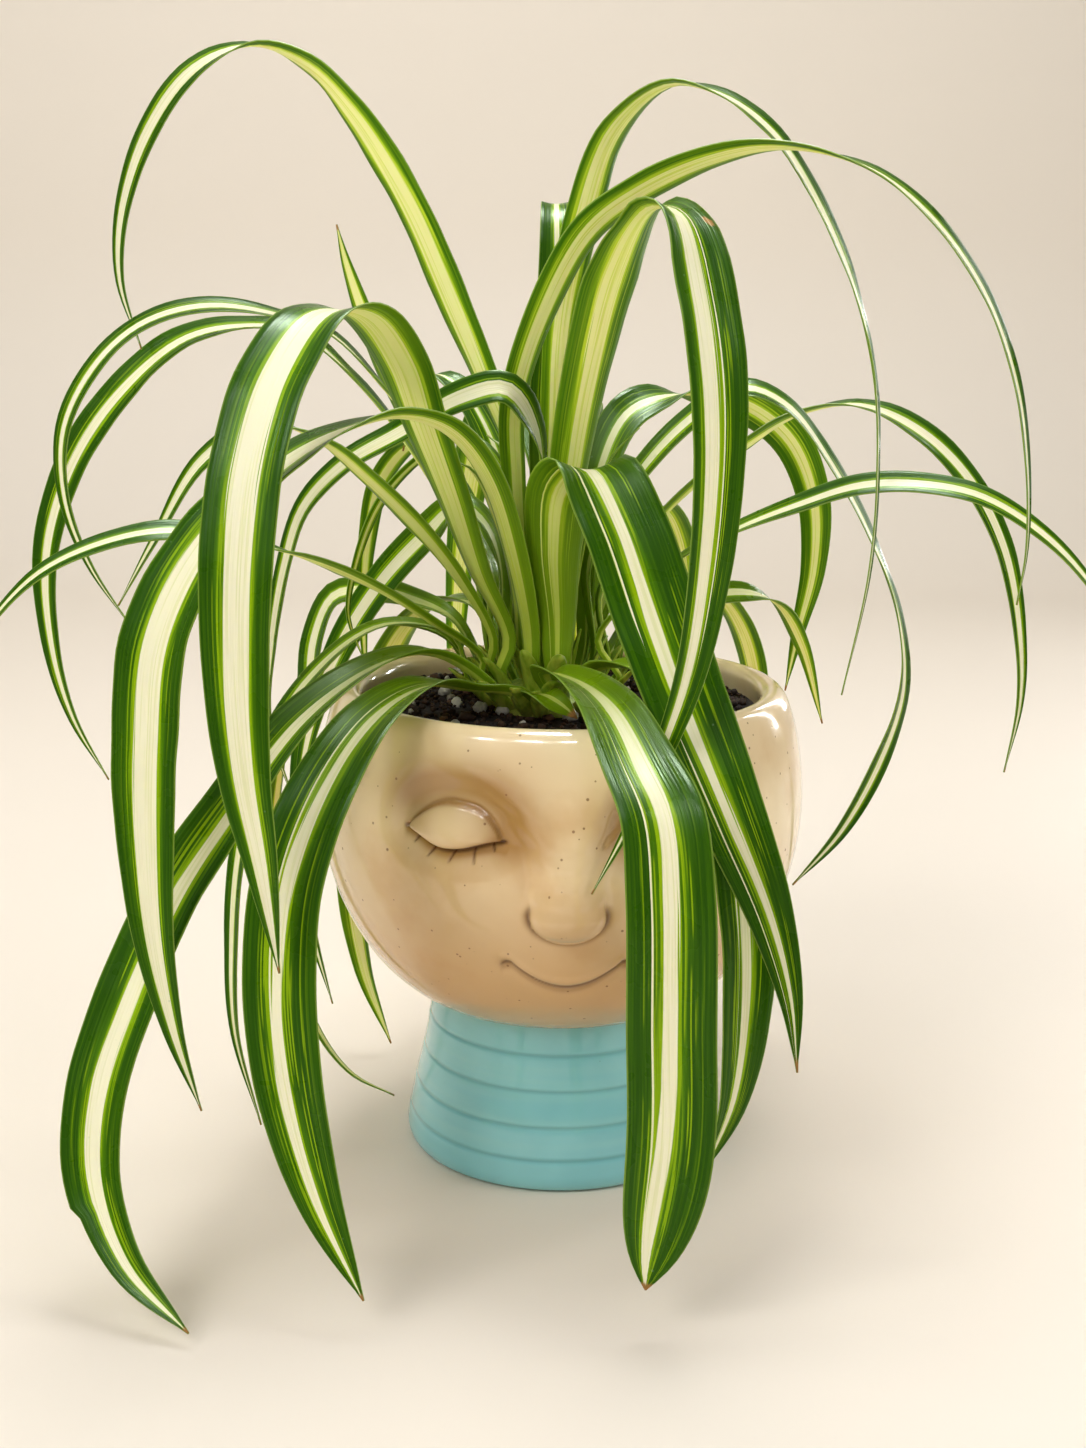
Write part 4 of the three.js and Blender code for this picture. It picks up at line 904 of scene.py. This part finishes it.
def faceRelief(angle, z):
    # how far the surface stands out, how much glaze has pooled there together with painted shade in the
    # hollows and tan on the nose and cheeks, and how dark its line is
    m = math.radians(angle - face["turn"]) * face["scale"]
    cheek = face["cheek"]
    parts = [eyeRelief(abs(m), z), noseRelief(m, z), mouthRelief(m, z)]
    height = sum(part[0] for part in parts)
    swell = bell((abs(m) - cheek["across"]) / cheek["halfWidth"]) * bell(
        (z - cheek["height"]) / cheek["halfHeight"])
    poolAndShade = sum(part[1] for part in parts) + cheek["tan"] * swell
    return height + cheek["rise"] * swell, min(poolAndShade, 1), min(max(part[2] for part in parts), 1)


def wallLine(rows, fine=40):
    return smoothLine([(r, z, 0) for r, z in rows], power=0, fine=fine)


def bowlProfile():
    line = wallLine(bowl["wall"])
    wanted = [0]
    length = lengths(line)[-1]
    while wanted[-1] < length - bowl["lastFace"]:
        here = placesAt(line, [wanted[-1]])[0]
        wanted.append(wanted[-1] + between(bowl["fineness"], here.y))
    wall = placesAt(line, wanted[:-1] + [length])
    inside = wallLine([bowl["wall"][-1]] + bowl["inside"], 4)
    return [(0, bowl["wall"][0][1])] + [(p.x, p.y) for p in wall + inside[1:-1]] + [bowl["inside"][-1]]


def bowlPiece():
    bm = spun(bowlProfile(), bowl["sectors"], bowl["start"])
    poolAndShade = bm.verts.layers.float.new("poolAndShade")
    ink = bm.verts.layers.float.new("ink")
    outer = [(z, r) for r, z in bowl["wall"][:bowl["outside"]]]
    low, high = face["heights"]
    for vert in bm.verts:
        radius = math.hypot(vert.co.x, vert.co.y)
        if radius < between(outer, vert.co.z) - face["skin"] or not low <= vert.co.z <= high:
            continue
        angle = math.degrees(math.atan2(vert.co.x, -vert.co.y))
        if abs(angle) > face["sides"][1]:
            continue
        height, vert[poolAndShade], vert[ink] = faceRelief(angle, vert.co.z)
        side = 1 - smoothstep(*face["sides"], abs(angle))
        vert.co.x *= 1 + height * side / radius
        vert.co.y *= 1 + height * side / radius
    bmesh.ops.recalc_face_normals(bm, faces=bm.faces)
    return finishPiece("bowl", bm, (creamGlaze,), "cream_glaze", "head_pot")


def creamGlazeMaterial():
    material, shader, place = newMaterial("creamGlaze", IOR=1.5, Coat_Weight=0.5, Coat_Roughness=0.04)
    height = heightOf(place)
    broad = cloud(place, 16.0, 3.0)
    skin = mixed(ramp(broad, 0.35, 0.65), colour(252, 231, 188), colour(242, 214, 168))
    blotch = cloud(place, 34.0, 4.0)
    skin = mixed(ramp(blotch, 0.5, 0.75, 0.0, 0.45), skin, colour(208, 156, 92))
    skin = mixed(ramp(height, 0.066, 0.125, 0.78, 0.0), skin, colour(204, 148, 82))
    # darker tan in the face's hollows and creases: pooled glaze and painted shade
    pooledAndShaded = times(attribute(shader, "poolAndShade"), ramp(broad, 0.3, 0.7, 0.6, 0.9))
    skin = mixed(pooledAndShaded, skin, colour(168, 121, 60))
    skin = mixed(attribute(shader, "ink"), skin, colour(96, 56, 26))
    small = specks(place, 3.6, 0.55, 0.6)
    large = specks(place, 12, 0.8, 0.3)
    dots = calc("MAXIMUM", times(small, 0.8), large)
    skin = mixed(times(dots, 0.85), skin, colour(116, 66, 26))
    paint(shader, skin, ramp(cloud(place, 60.0, 3.0), 0.3, 0.7, 0.1, 0.22))
    addBump(shader, cloud(place, 70.0, 1.0), 0.0006, 0.25)
    return material


creamGlaze = creamGlazeMaterial()
bowlPiece()
print("bowl made")


# ringed neck

neck = {
    "wall": [(46.5, 0), (48.7, 1.2), (49.6, 4), (49.1, 8), (46.6, 20.3), (44, 31), (42, 42), (40.6, 52)],
    "inside": [(34.6, 52), (36.6, 12), (32.6, 6), (0, 6)],
    "rings": [10.4, 20.3, 31, 42],
    "ringDepth": 0.35,
    "ringWidth": 0.5,
    "shoulder": 0.06,
    "shoulderBelow": 2.2,
    "shoulderWidth": 1.4,
    "hollow": 38,  # every point of the outer wall lies farther out
    "rows": 110,
    "steps": 36,  # of each quarter
}


def neckPiece():
    line = wallLine(neck["wall"])
    length = lengths(line)[-1]
    rows = neck["rows"]
    below, wide = neck["shoulderBelow"], neck["shoulderWidth"]
    profile = [(0, 0)]
    poolsAndShade = {}
    for place in placesAt(line, [length * i / rows for i in range(rows + 1)]):
        groove = sum(bell((place.y - z) / neck["ringWidth"]) for z in neck["rings"])
        shoulder = sum(bell((place.y - z + below) / wide) for z in neck["rings"])
        profile.append((place.x - neck["ringDepth"] * groove + neck["shoulder"] * shoulder, place.y))
        # how deep each height lies in a groove, for pooled glaze and painted shade
        poolsAndShade[round(place.y, 2)] = groove
    bm = spun(profile + neck["inside"], [(90, neck["steps"])] * 4)
    poolAndShade = bm.verts.layers.float.new("poolAndShade")
    for vert in bm.verts:
        if math.hypot(vert.co.x, vert.co.y) > neck["hollow"]:
            vert[poolAndShade] = poolsAndShade.get(round(vert.co.z, 2), 0)
    return finishPiece("neck", bm, (turquoiseGlaze,), "turquoise_glaze", "neck_base")


def turquoiseGlazeMaterial():
    material, shader, place = newMaterial("turquoiseGlaze", IOR=1.5, Coat_Weight=0.5, Coat_Roughness=0.05)
    broad = cloud(place, 22.0, 3.0)
    skin = mixed(ramp(broad, 0.35, 0.65), colour(138, 204, 208), colour(124, 191, 196))
    bands = cloud(stretched(place, (8, 8, 160)))
    skin = mixed(ramp(bands, 0.45, 0.7, 0.0, 0.35), skin, colour(150, 208, 201))
    # darker in the rings' grooves: pooled glaze and painted shade
    skin = mixed(times(attribute(shader, "poolAndShade"), 0.6), skin, colour(92, 152, 152))
    small = specks(place, 11, 0.6, 0.4)
    skin = mixed(times(small, 0.6), skin, colour(70, 92, 84))
    paint(shader, skin, ramp(broad, 0.3, 0.7, 0.14, 0.24))
    addBump(shader, cloud(place, 60.0, 1.0), 0.0006, 0.25)
    return material


turquoiseGlaze = turquoiseGlazeMaterial()
neckPiece()
print("neck made")


# soil

soil = {
    "level": 143,
    "bed": [(0, 61.8), (33.2, 62.3), (49.2, 72.3), (61.2, 90.3), (65.4, 110.3), (64.8, 125.3),
            (61.8, 140.3), (61.3, 142.4)],
    "top": {"rings": 44, "steps": 30, "sunk": 0.4, "lumps": ((0.12, 1.3), (0.4, 0.8)), "rim": (57, 61),
            "middle": (20, 30)},
    "inner": 22,
    "outer": 60.5,
}


def scatter(draw, inner, outer):
    radius = math.sqrt(inner ** 2 + draw.random() * (outer ** 2 - inner ** 2))
    angle = draw.uniform(0, 2 * math.pi)
    return radius * math.cos(angle), radius * math.sin(angle)


def soilBed():
    top, edge = soil["top"], soil["bed"][-1]
    height = soil["level"] - top["sunk"]
    rings = [(edge[0] * (1 - i / top["rings"]), height) for i in range(1, top["rings"] + 1)]
    bm = spun(soil["bed"] + rings, [(90, top["steps"])] * 4)
    for vert in bm.verts:
        if vert.co.z > (height + edge[1]) / 2:
            far = math.hypot(vert.co.x, vert.co.y)
            lump = sum(noise.noise(vert.co * pace) * rise for pace, rise in top["lumps"])
            vert.co.z += lump * (1 - smoothstep(*top["rim"], far)) * smoothstep(*top["middle"], far)
    return finishPiece("soil_bed", bm, (peat,), "soil", "soil")


grains = {
    "batch": 60,
    "small": 2.2,  # how much small grains outnumber large ones
    "sunk": (-0.1, 0.45),
    "slope": 0.6,
    "narrow": 0.6,
    "rough": 0.18,
}


def grainBatch():
    bm = bmesh.new()
    return bm, bm.verts.layers.float.new("shade")


def crumbPiece(name, count, sizes, flat, subdivisions, material, seed):
    # loose grains: jittered balls with few faces, each half sunk in the bed
    draw = random.Random(seed)
    whole = bmesh.new()
    bm, shade = grainBatch()
    for k in range(count):
        if k % grains["batch"] == grains["batch"] - 1:
            addTo(whole, bm)
            bm, shade = grainBatch()
        size = sizes[0] + (sizes[1] - sizes[0]) * draw.random() ** grains["small"]
        x, y = scatter(draw, soil["inner"], soil["outer"] - size)
        z = soil["level"] + size * draw.uniform(*grains["sunk"])
        turn = Matrix.Rotation(draw.uniform(0, wholeTurn), 4, "Z")
        turn = turn @ Matrix.Rotation(draw.uniform(0, grains["slope"]), 4, "X")
        shape = Matrix.Diagonal((size, size * draw.uniform(grains["narrow"], 1), size * flat, 1))
        made = bmesh.ops.create_icosphere(bm, subdivisions=subdivisions, radius=1,
                                          matrix=Matrix.Translation((x, y, z)) @ turn @ shape)
        tone = draw.random()
        rough = grains["rough"]
        for vert in made["verts"]:
            vert.co += Vector([draw.uniform(-rough, rough) * size for _ in range(3)])
            vert[shade] = tone
    addTo(whole, bm)
    return finishPiece(name, whole, (material,), "soil")


def grainMaterial(name, dark, light, roughness, depth):
    material, shader, place = newMaterial(name, Specular_IOR_Level=0.2)
    grain = cloud(place, 900.0, 3.0)
    tone = times(attribute(shader, "shade"), 0.6)
    tone = plus(tone, times(grain, 0.5))
    skin = mixed(ramp(tone, 0.1, 0.9), colour(*dark), colour(*light))
    paint(shader, skin, ramp(grain, 0.3, 0.7, roughness - 0.12, roughness))
    addBump(shader, grain, depth, 0.6)
    return material


peat = grainMaterial("peat", (24, 15, 9), (66, 45, 30), 0.9, 0.0008)
barkGrain = grainMaterial("barkGrain", (38, 24, 16), (98, 66, 44), 0.8, 0.0006)
perliteGrain = grainMaterial("perliteGrain", (132, 122, 108), (214, 208, 196), 0.85, 0.0007)
soilBed()

# number of grains, least and greatest size, flatness, fineness, material and seed
crumbs = {
    "soil_crumbs": (1500, (0.5, 1.8), 0.7, 1, peat, 11),
    "soil_bark": (50, (1.4, 3.8), 0.5, 1, barkGrain, 12),
    "soil_perlite": (70, (1.1, 2.6), 0.8, 2, perliteGrain, 13),
}
for name, row in crumbs.items():
    crumbPiece(name, *row)
print("soil made")


# crown of leaf bases

crown = {"foot": 136, "radius": 30, "from": 45, "rows": 12, "steps": 16}

sheath = {
    "before": -5,  # from the dome's surface back to its start, and on to its tip
    "after": 15,
    "faces": 8,
    "thickness": 0.5,
    "margin": 1.4,  # how much wider it is than the root
    "taper": 0.6,
    "gap": 0.9,  # from the root down to the sheath
    "drop": 0.4,
    "curl": 0.62,
    "curlPower": 1.6,
    "point": 1.5,
    "narrow": 0.9,
}


def crownPiece():
    centre = blade["crown"]
    dome = []
    for k in range(crown["rows"] + 1):
        rise = math.radians(crown["from"] + (90 - crown["from"]) * k / crown["rows"])
        dome.append((crown["radius"] * math.cos(rise), centre.z + crown["radius"] * math.sin(rise)))
    dome[-1] = (0, centre.z + crown["radius"])
    base = [(0, crown["foot"]), (dome[0][0], crown["foot"])]
    bm = spun(base + dome, [(90, crown["steps"])] * 4)
    bmesh.ops.translate(bm, verts=bm.verts, vec=(centre.x, centre.y, 0))
    return finishPiece("crown_heart", bm, (leafBase,), "crown", "crown")


def sheathPiece():
    # a short pale sheath under the root of each leaf
    bm = bmesh.new()
    for leaf in leaves.values():
        angle, rise = leaf["start"]
        out = compass(angle, rise)
        left = compass(angle + 90, 0)
        up = out.cross(left)
        half = leaf["width"] / 2 * leaf.get("root", blade["root"]) + sheath["margin"]
        made = bmesh.ops.create_grid(bm, x_segments=sheath["faces"], y_segments=sheath["faces"], size=0.5)
        for vert in made["verts"]:
            t = vert.co.x + 0.5
            across = vert.co.y * 2
            reach = sheath["before"] + (sheath["after"] - sheath["before"]) * t
            wide = half * (1 - sheath["taper"] * t ** 3)
            lift = wide * sheath["curl"] * abs(across) ** sheath["curlPower"]
            lift -= sheath["gap"] + sheath["drop"] * t
            reach += blade["radius"] - sheath["point"] * across * across * t
            vert.co = blade["crown"] + out * reach + left * (across * wide * sheath["narrow"]) + up * lift
    piece = finishPiece("crown_sheaths", bm, (leafBase,), "crown")
    thicken(piece, sheath["thickness"])
    return piece


def leafBaseMaterial():
    material, shader, place = newMaterial(
        "leafBase", IOR=1.45, Subsurface_Weight=0.2, Subsurface_Scale=0.002)
    grain = cloud(stretched(place, (400, 400, 60)))
    height = heightOf(place)
    skin = mixed(ramp(grain, 0.35, 0.65), colour(128, 158, 26), colour(176, 194, 66))
    skin = mixed(ramp(height, 0.142, 0.149, 0.6, 0.0), skin, colour(120, 104, 56))
    paint(shader, skin, 0.45)
    addBump(shader, grain, 0.0003, 0.5)
    return material


leafBase = leafBaseMaterial()
crownPiece()
sheathPiece()
print("crown made")


# floor, camera and light

# the floor's screen colour, and sizes in metres
stage = {"floor": (232, 222, 207), "front": -2.5, "back": 1.1, "width": 4.0, "height": 2.4, "bend": 0.35,
         "steps": 16}


def stageMaterial():
    material, shader, place = newMaterial("stagePaint")
    pale = colour(*stage["floor"])
    skin = mixed(cloud(place, 3.0), pale, tuple(0.97 * value for value in pale[:3]) + (1,))
    paint(shader, skin, 0.7)
    return material


def stagePiece():
    # one sheet: the floor, a bend, and the backdrop
    bm = bmesh.new()
    half = stage["width"] / 2
    rows = [(stage["front"], 0)]
    for k in range(stage["steps"] + 1):
        turn = math.pi / 2 * k / stage["steps"]
        rows.append((stage["back"] + stage["bend"] * math.sin(turn), stage["bend"] * (1 - math.cos(turn))))
    rows.append((stage["back"] + stage["bend"], stage["height"]))
    verts = [bm.verts.new((-half, y, z)) for y, z in rows]
    edges = [bm.edges.new(pair) for pair in zip(verts, verts[1:])]
    made = bmesh.ops.extrude_edge_only(bm, edges=edges)
    moved = [item for item in made["geom"] if isinstance(item, bmesh.types.BMVert)]
    bmesh.ops.translate(bm, verts=moved, vec=(stage["width"], 0, 0))
    bmesh.ops.recalc_face_normals(bm, faces=bm.faces)
    newObject("stage", bm, [stageMaterial()], size=1)


# place in metres, angles in degrees, lens and sensor in mm
view = {"place": (-0.0056, -0.5529, 0.2648), "down": 13.09, "roll": 0.27, "lens": 44.75, "sensor": 36,
        "nearest": 0.02}
sky = {"colour": (1, 0.98, 0.95, 1), "strength": 0.22}


def addCamera():
    data = bpy.data.cameras.new("camera")
    data.sensor_width = view["sensor"]
    data.lens = view["lens"]
    data.clip_start = view["nearest"]
    camera = bpy.data.objects.new("camera", data)
    tilt = Matrix.Rotation(math.radians(90 - view["down"]), 4, "X")
    camera.matrix_world = Matrix.Translation(view["place"]) @ tilt @ Matrix.Rotation(
        math.radians(view["roll"]), 4, "Z")
    scene.collection.objects.link(camera)
    scene.camera = camera


# place, aim, width, height and strength of each light, and whether it is for gloss or for the rest
softBoxes = {
    "key": ((-0.9, -0.9, 1.2), (0, 0, 0.15), 0.9, 0.9, 15.5, False),
    "fill": ((1.3, -0.35, 0.7), (0, 0, 0.15), 0.7, 0.7, 6.5, False),
    "top": ((0.1, 0.4, 1.5), (0, 0, 0.2), 0.5, 0.5, 10.5, False),
    "wall": ((-0.7, 0.3, 1.6), (-0.3, 1.4, 0.8), 0.8, 0.8, 7, False),
    "sheen": ((0.1, 0.15, 1.5), (0, 0, 0.2), 0.55, 0.4, 46, True),
    "front": ((0.2, -1.6, 0.5), (0, 0, 0.15), 0.8, 0.8, 2, False),
    "leftPane": ((-0.75, -0.7, 1.3), (0, 0, 0.15), 0.14, 0.05, 2.5, True),
    "middlePane": ((-0.3, -0.85, 1.3), (0, 0, 0.15), 0.24, 0.05, 4, True),
    "rightPane": ((0.12, -0.85, 1.3), (0, 0, 0.15), 0.24, 0.05, 4, True),
    "tallPane": ((0.8, 0.6, 0.45), (0, 0, 0.12), 0.06, 0.6, 3, True),
    "tallPaneBeside": ((0.6, 0.9, 0.4), (0, 0, 0.12), 0.06, 0.6, 3, True),
}


def addLights():
    for name, (place, aim, wide, tall, power, glossy) in softBoxes.items():
        data = bpy.data.lights.new(name, "AREA")
        data.shape = "RECTANGLE"
        data.size = wide
        data.size_y = tall
        data.energy = power
        lamp = bpy.data.objects.new(name, data)
        turn = (Vector(aim) - Vector(place)).to_track_quat("-Z", "Y")
        lamp.matrix_world = Matrix.Translation(place) @ turn.to_matrix().to_4x4()
        lamp.visible_glossy = glossy
        lamp.visible_diffuse = not glossy
        scene.collection.objects.link(lamp)
    world = bpy.data.worlds.new("studio")
    world.use_nodes = True
    background = world.node_tree.nodes["Background"]
    background.inputs["Color"].default_value = sky["colour"]
    background.inputs["Strength"].default_value = sky["strength"]
    scene.world = world


stagePiece()
addCamera()
addLights()
print("stage, camera and lights made")
